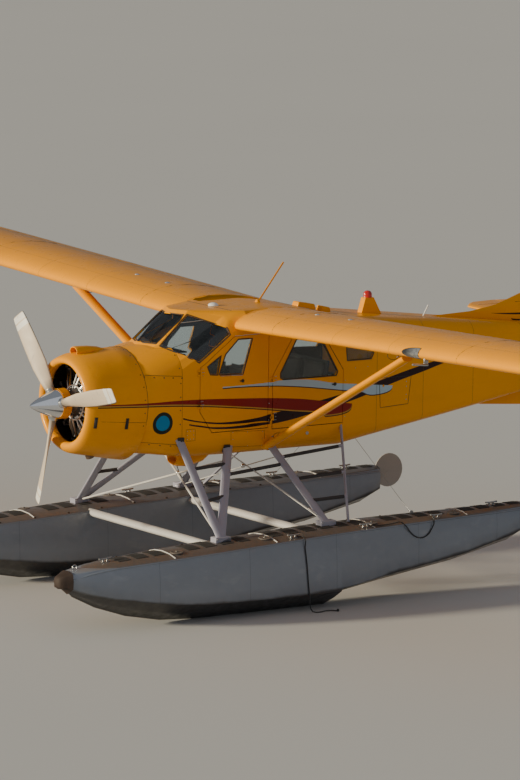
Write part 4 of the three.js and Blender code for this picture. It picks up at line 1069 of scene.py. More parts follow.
class FLOATPLANE_OT_windows(bpy.types.Operator):
    """Makes the seals round the panes, the sill rails and the wiper"""

    bl_idname = "floatplane.windows"
    bl_label = "Windows"

    # Outlines as (x, z) from the hub
    COCKPIT = ((-1.897, 0.306), (-1.991, 0.538), (-2.160, 0.700), (-2.357, 0.700), (-2.231, 0.293))
    QUARTER = ((-1.732, 0.405), (-1.910, 0.520), (-1.866, 0.306), (-1.774, 0.316))
    CABIN = ((-2.790, 0.205), (-2.790, 0.260), (-3.010, 0.640), (-3.060, 0.665), (-3.310, 0.665),
             (-3.360, 0.640), (-3.612, 0.225), (-3.590, 0.175), (-2.830, 0.180))
    REAR = ((-3.757, 0.500), (-3.775, 0.342), (-4.142, 0.336), (-4.180, 0.400), (-4.150, 0.500))
    SIDE_PANE = ((-1.262, 0.648), (-1.610, 0.470), (-2.035, 0.770), (-2.010, 0.850), (-1.672, 0.985))
    # As (y, z) from the hub
    WINDSCREEN = ((-0.245, 0.672), (-0.245, 0.920), (-0.225, 0.985), (0.225, 0.985), (0.245, 0.920),
                  (0.245, 0.672))
    MARGIN = 0.010
    RAIL = ((-1.905, 0.286), (-2.222, 0.274))
    WIPER_SIDE = 0.12
    WIPER_LEVELS = (0.700, 0.76, 0.83, 0.90)
    WIPER_FOOT = (-1.20, 0.18, 0.662)

    def execute(self, context):
        for side, s in SIDES.items():
            for name, node, outline, body in (
                    ("cockpit_window", f"cockpit_door_{side}", self.COCKPIT, f"cockpit_door_{side}"),
                    ("quarter_window", f"cockpit_door_{side}", self.QUARTER, f"cockpit_door_{side}"),
                    ("cabin_window", f"cabin_door_{side}", self.CABIN, f"cabin_door_{side}"),
                    ("rear_window", "cabin_shell", self.REAR, "airframe"),
                    ("side_pane", "cabin_shell", self.SIDE_PANE, "airframe")):
                hits = outline_hits(node, grown(outline, self.MARGIN), s, 3)
                seam(f"{name}_seal_{side}", hits, body, 0.0075, cyclic=True)
            rail = [on_side(f"cockpit_door_{side}", x, z, s) for x, z in spaced(*self.RAIL, 6)]
            seam(f"cockpit_window_rail_{side}", rail, f"cockpit_door_{side}", 0.009, "bare")
        ring = grown(self.WINDSCREEN, self.MARGIN)
        ring.append(ring[0])
        places = [surface_at("cabin_shell", at(1.0, y, z), (-1, 0, 0)) for start, end in zip(ring, ring[1:])
                  for y, z in spaced(start, end, 4)[:-1]]
        seam("windscreen_seal", places, radius=0.0085, cyclic=True)
        feet = [surface_at("windscreen", at(1.0, self.WIPER_SIDE, z), (-1, 0, 0))[0]
                for z in self.WIPER_LEVELS]
        blade = [foot + Vector((0.014, 0, 0.006)) for foot in feet]
        wiper = joined([tube(blade, 0.005, 2), tube([at(*self.WIPER_FOOT), blade[1]], 0.004, 2)])
        placed(wiper, "windscreen_wiper", "airframe", "panel")
        return {"FINISHED"}


class FLOATPLANE_OT_fittings(bpy.types.Operator):
    """Makes the fuselage's door locks, hatch, access panels, drains, strut plates, aerials and roof scoops"""

    bl_idname = "floatplane.fittings"
    bl_label = "Fuselage fittings"

    HATCH = ((-4.291, 0.078), (-4.313, -0.287), (-4.772, -0.278), (-4.816, 0.066))
    PANELS = (((-2.074, -0.404), (-2.560, -0.424), (-2.560, -0.612), (-2.077, -0.588)),
              ((-1.430, -0.330), (-1.560, -0.330), (-1.560, -0.470), (-1.430, -0.470)))
    DOORS = {
        "cockpit_door": {"lock": (-2.233, 0.203), "hinges": (-1.640, (0.345, -0.045))},
        "cabin_door": {"lock": (-3.583, 0.067), "hinges": (-2.700, (0.185, -0.265))},
    }
    STRUT_ENDS = ((-1.350, -0.470), (-2.012, -0.600), (-2.662, -0.620))
    FLANK_SCREWS = ((-2.62, 0.10), (-2.62, -0.10), (-2.62, -0.30), (-3.74, 0.10), (-3.74, -0.12),
                    (-3.74, -0.34), (-3.90, 0.24), (-4.10, 0.24))
    FUEL_DRAIN = (-3.183, -0.503)
    HATCH_LOCKS = ((-4.36, -0.02), (-4.36, -0.20))
    HATCH_HINGES = ((-4.74, 0.0), (-4.74, -0.06), (-4.74, -0.16), (-4.74, -0.22))
    # Each seam's name, station and half width
    ROOF_SEAMS = (("roof_seam_front", -2.16, 0.48), ("roof_seam_rear", -3.42, 0.46))
    RADIO_AERIAL = ((-5.337, 0, 0.690), (-5.423, 0, 0.838))
    DISH = ((0.0, 0.0), (0.0, 0.022), (0.004, 0.021), (0.005, 0.016), (0.002, 0.0))
    DRAIN = ((0.0, 0.0), (0.0, 0.022), (0.006, 0.020), (0.008, 0.010), (0.003, 0.0))
    AERIAL_FOOT = ((0.0, 0.0), (0.0, 0.032), (0.012, 0.028), (0.030, 0.014), (0.030, 0.0))
    ROOF_SCOOPS = (
        ((-3.405, 0.940), (-3.430, 1.012), (-3.675, 0.968), (-3.685, 0.870)),
        ((-3.765, 0.860), (-3.785, 0.940), (-3.900, 0.914), (-3.910, 0.850)),
    )

    def execute(self, context):
        for side, s in SIDES.items():
            self.doors(side, s)
            self.flank(side, s)
        hatch = outline_hits("tail_cone", self.HATCH, 1, 3)
        seam("baggage_hatch_seam", hatch, radius=0.0035, cyclic=True)
        screws("baggage_hatch_locks", [on_side("tail_cone", *p, 1) for p in self.HATCH_LOCKS],
               radius=0.016, height=0.004, look="yellow")
        screws("baggage_hatch_hinges", [on_side("tail_cone", *p, 1) for p in self.HATCH_HINGES], radius=0.008)
        self.roof()
        return {"FINISHED"}

    def doors(self, side, s):
        for door, places in self.DOORS.items():
            node = f"{door}_{side}"
            dish = lathe(self.DISH, Vector((0, 0, 0)), (0, 0, 1), 28)
            lever = brick((0.018, 0, 0.012), (0.062, 0.014, 0.009), 0.004, 3)
            handle = joined([dish, lever, stud((0, 0, 0), (0, 0, 1), 0.009, 0.018, 16)])
            placed(copies(handle, [on_side(node, *places["lock"], s)]), f"{door}_lock_{side}", node, "panel")
            station, levels = places["hinges"]
            hits = [on_side(node, station - dx, z + dz, s)
                    for z in levels for dx in (0.0, 0.022) for dz in (-0.04, 0, 0.04)]
            screws(f"{door}_hinge_screws_{side}", hits, node, 0.006, 0.003)

    def flank(self, side, s):
        for i, panel in enumerate(self.PANELS):
            ring = outline_hits("cabin_shell", panel, s, 2)
            seam(f"access_panel_{i}_{side}", ring, radius=0.002, cyclic=True)
            heads = outline_hits("cabin_shell", grown(panel, -0.03), s, 2)
            screws(f"access_panel_screws_{i}_{side}", heads, radius=0.006, height=0.002)
        heads = [on_side("cabin_shell", *p, s) for p in self.FLANK_SCREWS]
        screws(f"flank_screws_{side}", heads, radius=0.007, height=0.002)
        drain = lathe(self.DRAIN, Vector((0, 0, 0)), (0, 0, 1), 20)
        hits = [on_side("cabin_shell", *self.FUEL_DRAIN, s)]
        placed(copies(drain, hits), f"fuel_drain_{side}", "airframe", "steel")
        plate = joined([brick((0, 0, 0.010), (0.085, 0.110, 0.022), 0.006, 3),
                        stud((0, 0, 0.018), (0, 0, 1), 0.020, 0.016, 14)])
        hits = [on_side("accessory_cowl" if x > -1.37 else "cabin_shell", x, z, s)
                for x, z in self.STRUT_ENDS]
        placed(copies(plate, hits), f"float_strut_plates_{side}", "airframe", "panel")

    def roof(self):
        dome = ball(on_top("cabin_shell", -2.22, 0.0)[0], (0.13, 0.13, 0.075))
        placed(dome, "position_aerial", "airframe", "white")
        rod = tube([at(*end) for end in self.RADIO_AERIAL], 0.009, 3)
        placed(rod, "radio_aerial", "airframe", "white")
        foot = lathe(self.AERIAL_FOOT, on_top("cabin_shell", -2.864, 0.0)[0], (0, 0, 1), 24)
        placed(foot, "whip_aerial_foot", "airframe", "yellow")
        for name, station, half in self.ROOF_SEAMS:
            line = spaced((station, -half), (station, half), 9)
            seam(name, [on_top("cabin_shell", x, y) for x, y in line], radius=0.0035)
        for i, outline in enumerate(self.ROOF_SCOOPS):
            scoop = slab([at(x, -0.065, z) for x, z in outline], (0, 0.13, 0), 0.016, 3)
            placed(scoop, f"roof_scoop_{i}", "airframe", "yellow")


class FLOATPLANE_OT_wings(bpy.types.Operator):
    """Makes the wings' seams, fuel caps, lamps, hinge fairings, static wicks, pitot tube and strut ends"""

    bl_idname = "floatplane.wings"
    bl_label = "Wings"

    LEADING = -2.10
    CHORD = 1.588
    HINGE_X = LEADING - CHORD * 0.76
    BRACKETS = (1.10, 3.30, 4.35, 6.55)
    BRACKET = ((0.10, 0.01), (-0.12, 0.016), (-0.12, -0.020), (-0.08, -0.034), (0.02, -0.026))
    LAMP = (4.06, 4.37)
    ROOT = 0.668
    JOINTS = (("inner", 1.43), ("outer", 5.10))
    # Shares of the chord
    ROOT_SHARES = (0.004, 0.02, 0.05, 0.10, 0.18, 0.28, 0.40, 0.52, 0.64, 0.72)
    LOWER_SHARES = (0.01, 0.05, 0.15, 0.3, 0.5, 0.7)
    JOINT_SHARES = (0.005, 0.02, 0.06, 0.14, 0.28, 0.44, 0.58, 0.69)
    FUEL_CAPS = ((-2.62, 1.62), (-2.62, 2.30))
    FUEL_CAP = ((0.0, 0.0), (0.0, 0.034), (0.005, 0.032), (0.007, 0.012), (0.011, 0.010), (0.012, 0.0))
    TIP_LAMP = (-2.235, 7.262, 1.085)
    TIP_FOOT = (-2.262, 7.262, 1.085)
    WICKS = (4.6, 5.6, 6.6)
    STRUT_FOOT = (-2.624, 0.664, -0.575)
    STRUT_TOP = (-2.545, 3.42)
    CUFFS = (0.22, 2.95)
    PITOT = ((-1.960, 4.46, 0.915), (-2.185, 4.46, 0.897))
    PROBE = ((0.0, 0.0), (0.0, 0.008), (0.006, 0.013), (0.215, 0.015), (0.222, 0.010), (0.222, 0.0))

    def execute(self, context):
        for side, s in SIDES.items():
            self.seams(side, s)
            self.fittings(side, s)
            self.strut(side, s)
            wicks = []
            for span in self.WICKS:
                end = at(-3.683, s * span, 0.806 + math.tan(DIHEDRAL) * span)
                wicks.append(tube([on_top(f"aileron_{side}", -3.655, s * span)[0], end], 0.003, 2))
            placed(joined(wicks), f"static_wicks_{side}", f"aileron_{side}", "panel")
        self.landing_lamp()
        self.pitot()
        return {"FINISHED"}

    def line(self, hit, node, span, shares):
        """Places along the chord of a wing's upper or lower skin, by shares of it."""
        return [hit(node, self.LEADING - share * self.CHORD, span) for share in shares]

    def seams(self, side, s):
        node = f"wing_{side}"
        root = self.line(on_top, node, s * self.ROOT, self.ROOT_SHARES)
        seam(f"wing_root_seal_{side}", root, radius=0.004, look="yellow")
        lower = self.line(under, node, s * self.ROOT, self.LOWER_SHARES)
        seam(f"wing_root_lower_seal_{side}", lower, radius=0.005, look="yellow")
        for name, span in self.JOINTS:
            seam(f"wing_{name}_joint_{side}", self.line(on_top, node, s * span, self.JOINT_SHARES),
                 radius=0.0034)

    def fittings(self, side, s):
        node = f"wing_{side}"
        cap = lathe(self.FUEL_CAP, Vector((0, 0, 0)), (0, 0, 1), 28)
        hits = [on_top(node, x, s * y) for x, y in self.FUEL_CAPS]
        placed(copies(cap, hits), f"fuel_caps_{side}", "airframe", "bare")
        brackets = []
        for span in self.BRACKETS:
            foot = under(node, self.HINGE_X + 0.20, s * span)[0]
            outline = [foot + Vector((x, -0.006, z - 0.006)) for x, z in self.BRACKET]
            brackets.append(slab(outline, (0, 0.012, 0), 0.004))
        placed(joined(brackets), f"hinge_fairings_{side}", "airframe", "yellow")
        x, y, z = self.TIP_LAMP
        lens = ball(at(x, s * y, z), (0.13, 0.075, 0.055))
        placed(lens, f"tip_lamp_{side}", "airframe", "red_lamp" if s > 0 else "green_lamp")
        x, y, z = self.TIP_FOOT
        placed(ball(at(x, s * y, z), (0.14, 0.09, 0.07)), f"tip_lamp_foot_{side}", "airframe", "yellow")

    def strut(self, side, s):
        """The bolts at each end of the wing strut, the pad at its top and the seams of its cuffs."""
        x, y, z = self.STRUT_FOOT
        foot = at(x, s * y, z)
        x, y = self.STRUT_TOP
        top = under(f"wing_{side}", x, s * y)[0]
        along = (top - foot).normalized()
        flat = along.cross(Vector((1, 0, 0))).normalized()
        bolts = []
        for place in (foot + along * 0.09, top - along * 0.09):
            for face in (flat, -flat):
                bolts.append(stud(place + face * 0.043, face, 0.017, 0.014, 12))
        placed(joined(bolts), f"wing_strut_bolts_{side}", "airframe", "steel")
        pad = brick(top + Vector((0, 0, -0.006)), (0.20, 0.13, 0.018), 0.006, 3)
        placed(pad, f"wing_strut_pad_{side}", "airframe", "yellow")
        cuffs = []
        for reach in self.CUFFS:
            middle = foot + along * reach
            ring = [middle + Vector((math.cos(a) * 0.0765, 0, 0)) + flat * math.sin(a) * 0.0465
                    for a in full_turn(16)]
            cuffs.append(tube(ring, 0.003, 2, cyclic=True))
        placed(joined(cuffs), f"wing_strut_cuffs_{side}", "airframe", "seal")

    def landing_lamp(self):
        """The pane let into the leading edge: round toward the root, straight at its outer end."""
        def front(y, off):
            height = 0.852 + math.tan(DIHEDRAL) * y + off
            return surface_at("wing_port", at(0.0, y, height), (-1, 0, 0))[0] + Vector((0.004, 0, 0))

        def place(share, level):
            half = 0.058 * math.sqrt(max(0.0, 1 - (1 - share) ** 2)) + 0.002
            return front(self.LAMP[0] + (self.LAMP[1] - self.LAMP[0]) * share, 0.008 + level * half)

        pane = draped(place, (0.0, 1.0), (-1.0, 1.0), 0.004, (14, 8))
        placed(pane, "landing_lamp_bowl", "airframe", "reflector")
        shares = (0.0, 0.03, 0.08, 0.16, 0.28, 0.45, 0.65, 0.85, 1.0)
        ring = [(share, 1.0) for share in shares] + [(1.0, 0.33), (1.0, -0.33)]
        ring += [(share, -1.0) for share in shares[:0:-1]]
        seam("landing_lamp_frame", [(place(*spot), None) for spot in ring], radius=0.005, cyclic=True)

    def pitot(self):
        front, rear = (at(*end) for end in self.PITOT)
        foot = under("wing_port", -2.150, 4.46)[0]
        bracket = slab([foot + Vector((0.03, -0.006, 0.012)), foot + Vector((-0.03, -0.006, 0.012)),
                        Vector((rear.x + 0.005, rear.y - 0.006, rear.z)),
                        Vector((rear.x + 0.065, rear.y - 0.006, rear.z))],
                       (0, 0.012, 0), 0.004)
        probe = lathe(self.PROBE, front, (rear - front).normalized(), 20)
        placed(joined([probe, bracket]), "pitot_tube", "airframe", "steel")


class FLOATPLANE_OT_tail(bpy.types.Operator):
    """Makes the seams of tabs, tailplane and fin, the tab horns, the tail lamp and the tie-down ring"""

    bl_idname = "floatplane.tail"
    bl_label = "Tail"

    # As (x, z) from the hub
    RUDDER_TAB = (*spaced((-8.800, 0.30), (-8.800, 0.78), 5), (-8.87, 0.79))
    # As (x, y) from the hub
    ELEVATOR_TAB = ((-8.66, 0.62), (-8.66, 0.9), (-8.66, 1.2), (-8.66, 1.42), (-8.74, 1.42))
    HORN = ((-8.62, 0.95), (-8.67, 0.95))
    HORN_HEIGHT = 0.045
    TAILPLANE_RIBS = (0.75, 1.45, 2.05)
    TAILPLANE_CHORD = (-7.72, -8.24)
    FIN_SEAM = (-6.75, -7.1, -7.5, -7.9, -8.3)
    FIN_SEAM_LEVEL = 0.80
    TAIL_LAMP = (-8.925, 0, 1.02)
    TIE_DOWN = (-8.05, 0, -0.600)

    def execute(self, context):
        for side, s in SIDES.items():
            seam(f"rudder_tab_seam_{side}", [on_side("rudder", *p, s) for p in self.RUDDER_TAB], "rudder",
                 0.0025)
            line = [on_top("elevator", x, s * y) for x, y in self.ELEVATOR_TAB]
            seam(f"elevator_tab_seam_{side}", line, "elevator", 0.0025)
            foot, top = (on_top("elevator", x, s * y)[0] for x, y in self.HORN)
            horn = tube([foot, top + Vector((0, 0, self.HORN_HEIGHT))], 0.005, 2)
            placed(horn, f"elevator_tab_horn_{side}", "elevator", "steel")
            for span in self.TAILPLANE_RIBS:
                front, rear = ((x, s * span) for x in self.TAILPLANE_CHORD)
                rib = [on_top("tailplane", x, y) for x, y in spaced(front, rear, 6)]
                seam(f"tailplane_rib_{round(span * 100)}_{side}", rib, radius=0.0022)
        placed(ball(at(*self.TAIL_LAMP), (0.045, 0.030, 0.06)), "tail_lamp", "rudder", "clear_lamp")
        root = [on_side("fin", x, self.FIN_SEAM_LEVEL, 1)[0] for x in self.FIN_SEAM]
        seam("fin_seam_port", [(p, None) for p in root], radius=0.0022)
        seam("fin_seam_starboard", [(Vector((p.x, -p.y, p.z)), None) for p in root], radius=0.0022)
        ring = hoop(at(*self.TIE_DOWN), (0, 1, 0), 0.030, 0.008, 24, 8)
        placed(ring, "tail_tie_down_ring", "airframe", "steel")
        return {"FINISHED"}


class FLOATPLANE_OT_floats(bpy.types.Operator):
    """Makes the floats' deck pads and ribs, gunwales, keel strips, hatches, cleats, plugs and bow rings"""

    bl_idname = "floatplane.floats"
    bl_label = "Floats"

    PAD_PITCH = 0.237
    FIRST_PAD = 0.20
    PADS = 25
    RIB_EVERY = 6
    FIRST_WITH_RIB = 3
    HATCHES = (-0.62, -1.86, -3.41, -4.65)
    CLEATS = ((0.28, 0.0), (-2.20, 0.74), (-3.25, 0.74), (-4.32, 0.74), (-5.30, 0.0))
    STATIONS = (0.80, 0.60, 0.42, 0.20, 0.0, -0.24, -0.48, -0.72, -0.95, -1.42, -1.90, -2.36, -2.82, -3.22,
                -3.60, -4.15, -4.70, -5.12, -5.54, -5.74)
    FORE_KEEL = ((0.74, -1.992), (0.42, -2.150), (0.0, -2.290), (-0.48, -2.382), (-0.95, -2.410),
                 (-2.815, -2.410))
    AFTER_KEEL = ((-2.84, -2.310), (-3.60, -2.195), (-4.70, -2.045), (-5.54, -1.870), (-5.74, -1.770))
    KEEL_LIFT = 0.008
    # Shares of the half beam
    RIB_SHARES = (-0.92, -0.5, 0.0, 0.5, 0.92)
    PAD_SHARES = (-0.45, 0.45)
    GUNWALES = (("outer", 0.985), ("inner", -0.985))
    HATCH_SHARE = 0.45
    HATCH_CLEARANCE = 0.13
    PLUG_SHARE = -0.90
    PLUGS = 9
    STRUT_FEET = (("front", -1.336), ("rear", -2.845))
    BOW_RING = 0.70
    HATCH = ((0.0, 0.0), (0.0, 0.078), (0.008, 0.074), (0.010, 0.064), (0.007, 0.056), (0.009, 0.016),
             (0.022, 0.012), (0.024, 0.0))
    CLEAT_HORN = ((-0.085, 0, 0.040), (-0.04, 0, 0.034), (0.04, 0, 0.034), (0.085, 0, 0.040))

    def execute(self, context):
        for side, s in SIDES.items():
            self.side, self.s, self.node = side, s, f"float_{side}"
            self.decks()
            self.rails()
            self.fittings()
        return {"FINISHED"}

    def deck(self, x, share):
        """A place on the deck, by its share of the half beam: 1 outboard, -1 inboard."""
        return on_top(self.node, x, self.s * (TRACK_HALF + share * self.half(x)))

    def half(self, x):
        """The deck's half beam, found just under the gunwale."""
        crown = on_top(self.node, x, self.s * TRACK_HALF)[0].z - HUB.z
        return abs(on_side(self.node, x, crown - 0.085, self.s)[0].y) - TRACK_HALF

    def decks(self):
        ribs, pads = [], []
        length = bpy.context.scene.floatplane_sizes.pad
        for i in range(self.PADS):
            x = self.FIRST_PAD - i * self.PAD_PITCH
            if i % self.RIB_EVERY == self.FIRST_WITH_RIB:
                ribs.append(tube([self.deck(x, share)[0] for share in self.RIB_SHARES], 0.009, 2))
            middle = x - self.PAD_PITCH / 2
            if all(abs(middle - hatch) > self.HATCH_CLEARANCE for hatch in self.HATCHES):
                ends = (middle - length / 2, middle + length / 2)
                pads.append(draped(lambda a, b: self.deck(a, b)[0] + Vector((0, 0, 0.003)), ends,
                                   self.PAD_SHARES, 0.004, (3, 6)))
        placed(joined(ribs), f"deck_joint_ribs_{self.side}", "airframe", "bar")
        placed(joined(pads), f"deck_pads_{self.side}", "airframe", "pad")

    def rails(self):
        for name, share in self.GUNWALES:
            places = [self.deck(x, share)[0] for x in self.STATIONS]
            placed(tube(places, 0.013, 3), f"gunwale_{name}_{self.side}", "airframe", "float")
        for name, line in (("fore_keel", self.FORE_KEEL), ("after_keel", self.AFTER_KEEL)):
            places = [at(x, self.s * TRACK_HALF, z + self.KEEL_LIFT) for x, z in line]
            placed(tube(places, 0.011, 3), f"{name}_strip_{self.side}", "airframe", "rib")

    def fittings(self):
        cover = lathe(self.HATCH, Vector((0, 0, 0)), (0, 0, 1), 32)
        hits = [self.deck(x, self.HATCH_SHARE) for x in self.HATCHES]
        placed(copies(cover, hits), f"deck_hatches_{self.side}", "airframe", "rib")
        horn = tube(self.CLEAT_HORN, 0.010, 3, smooth=True)
        posts = [tube([(x, 0, 0.0), (x, 0, 0.036)], 0.011, 3) for x in (-0.03, 0.03)]
        cleat = joined([horn, *posts, brick((0, 0, 0.003), (0.11, 0.045, 0.006), 0.002)])
        hits = [self.deck(x, share) for x, share in self.CLEATS]
        placed(copies(cleat, hits), f"cleats_{self.side}", "airframe", "steel")
        plugs = [self.deck(self.FIRST_PAD - (i + 0.5) * 2 * self.PAD_PITCH, self.PLUG_SHARE)
                 for i in range(self.PLUGS)]
        screws(f"pump_plugs_{self.side}", plugs, radius=0.015, height=0.014, look="rubber")
        for name, station in self.STRUT_FEET:
            hits = [self.deck(station + dx, share) for dx in (-0.085, 0.085) for share in (-0.17, 0.17)]
            raised = [(place + Vector((0, 0, 0.040)), normal) for place, normal in hits]
            screws(f"{name}_fitting_bolts_{self.side}", raised, radius=0.013, height=0.012)
        ring = hoop(self.deck(self.BOW_RING, 0.0)[0] + Vector((0, 0, 0.022)), (0, 1, 0), 0.028, 0.007, 24, 8)
        placed(ring, f"bow_ring_{self.side}", "airframe", "steel")


class FLOATPLANE_OT_rigging(bpy.types.Operator):
    """Makes the side stays with their turnbuckles, the step sleeves and the water rudders' cables"""

    bl_idname = "floatplane.rigging"
    bl_label = "Rigging"

    STAY = ((-2.02, 0.690, -0.650), (-2.845, 1.545, -1.405))
    FRONT_LEG = ((-1.343, 0.664, -0.493), (-1.336, 1.552, -1.495))
    SECOND_LEG = ((-2.012, 0.664, -0.622), (-1.336, 1.552, -1.495))
    REAR_LEG = ((-2.662, 0.664, -0.640), (-2.845, 1.552, -1.428))
    POLE = ((-3.671, 0.656, -0.474), (-3.166, 1.560, -1.447))
    # Each step's two legs, with its share of each one's length
    STEPS = ((FRONT_LEG, 0.27, SECOND_LEG, 0.15), (FRONT_LEG, 0.61, SECOND_LEG, 0.52),
             (SECOND_LEG, 0.28, REAR_LEG, 0.215),
             (REAR_LEG, 0.13, POLE, 0.19), (REAR_LEG, 0.42, POLE, 0.47), (REAR_LEG, 0.71, POLE, 0.73))
    SLEEVE = (0.07, 0.93)
    CROSSINGS = ((-1.742, 0.0, -0.966), (-2.690, 0.0, -0.957))
    BARREL = ((0.0, 0.0), (0.0, 0.006), (0.01, 0.013), (0.12, 0.013), (0.13, 0.006), (0.13, 0.0))
    BARREL_BACK = 0.26
    # Where a water rudder's cable leaves the fuselage and the deck, as (x, y), and the horn that it runs to
    CABLE_BELLY = (-4.05, 0.40)
    CABLE_DECK = (-4.14, 1.50)
    HORN = (-5.735, TRACK_HALF - 0.04, -1.425)
    GUIDE = ((-5.74, TRACK_HALF + 0.03, -1.425), (-5.80, TRACK_HALF + 0.03, -1.475))
    PULLEY = ((-0.006, 0.004), (-0.006, 0.026), (-0.002, 0.020), (0.002, 0.020), (0.006, 0.026),
              (0.006, 0.004))

    def execute(self, context):
        sizes = context.scene.floatplane_sizes
        for side, s in SIDES.items():
            self.stay(side, s, sizes.stay / 2)
            self.steps(side, s)
            self.cable(side, s, sizes.cable / 2)
        crossings = [ball(at(*place), (0.055, 0.055, 0.055), 16) for place in self.CROSSINGS]
        placed(joined(crossings), "brace_crossings", "airframe", "bare")
        return {"FINISHED"}

    def stay(self, side, s, radius):
        top, foot = (at(x, s * y, z) for x, y, z in self.STAY)
        placed(tube([top, foot], radius, 3), f"side_stay_{side}", "airframe", "steel")
        along = (foot - top).normalized()
        barrel = lathe(self.BARREL, foot - along * self.BARREL_BACK, along, 16)
        placed(barrel, f"stay_turnbuckle_{side}", "airframe", "bare")

    def steps(self, side, s):
        """The dark sleeves on the rungs between the struts."""
        sleeves = []
        for one, share, other, other_share in self.STEPS:
            ends = [Vector(leg[0]).lerp(Vector(leg[1]), where)
                    for leg, where in ((one, share), (other, other_share))]
            ends = [ends[0].lerp(ends[1], where) for where in self.SLEEVE]
            sleeves.append(tube([at(p.x, s * p.y, p.z) for p in ends], 0.0215, 3))
        placed(joined(sleeves), f"step_sleeves_{side}", "airframe", "grip")

    def cable(self, side, s, radius):
        """A water rudder's cable, from the fuselage's belly by a pulley on the deck to the stern."""
        x, y = self.CABLE_BELLY
        belly = under("cabin_shell", x, s * y)[0]
        x, y = self.CABLE_DECK
        deck = on_top(f"float_{side}", x, s * y)[0]
        x, y, z = self.HORN
        runs = [[belly, deck], [deck + Vector((0, 0, 0.01)), at(x, s * y, z)]]
        placed(joined([tube(run, radius, 2) for run in runs]), f"water_rudder_cable_{side}", "airframe",
               "steel")
        wheel = lathe(self.PULLEY, deck + Vector((0, 0, 0.018)), (0, 1, 0), 20)
        placed(wheel, f"cable_pulley_{side}", "airframe", "bare")
        guide = tube([at(x, s * y, z) for x, y, z in self.GUIDE], 0.008, 3)
        placed(guide, f"water_rudder_guide_{side}", "airframe", "steel")


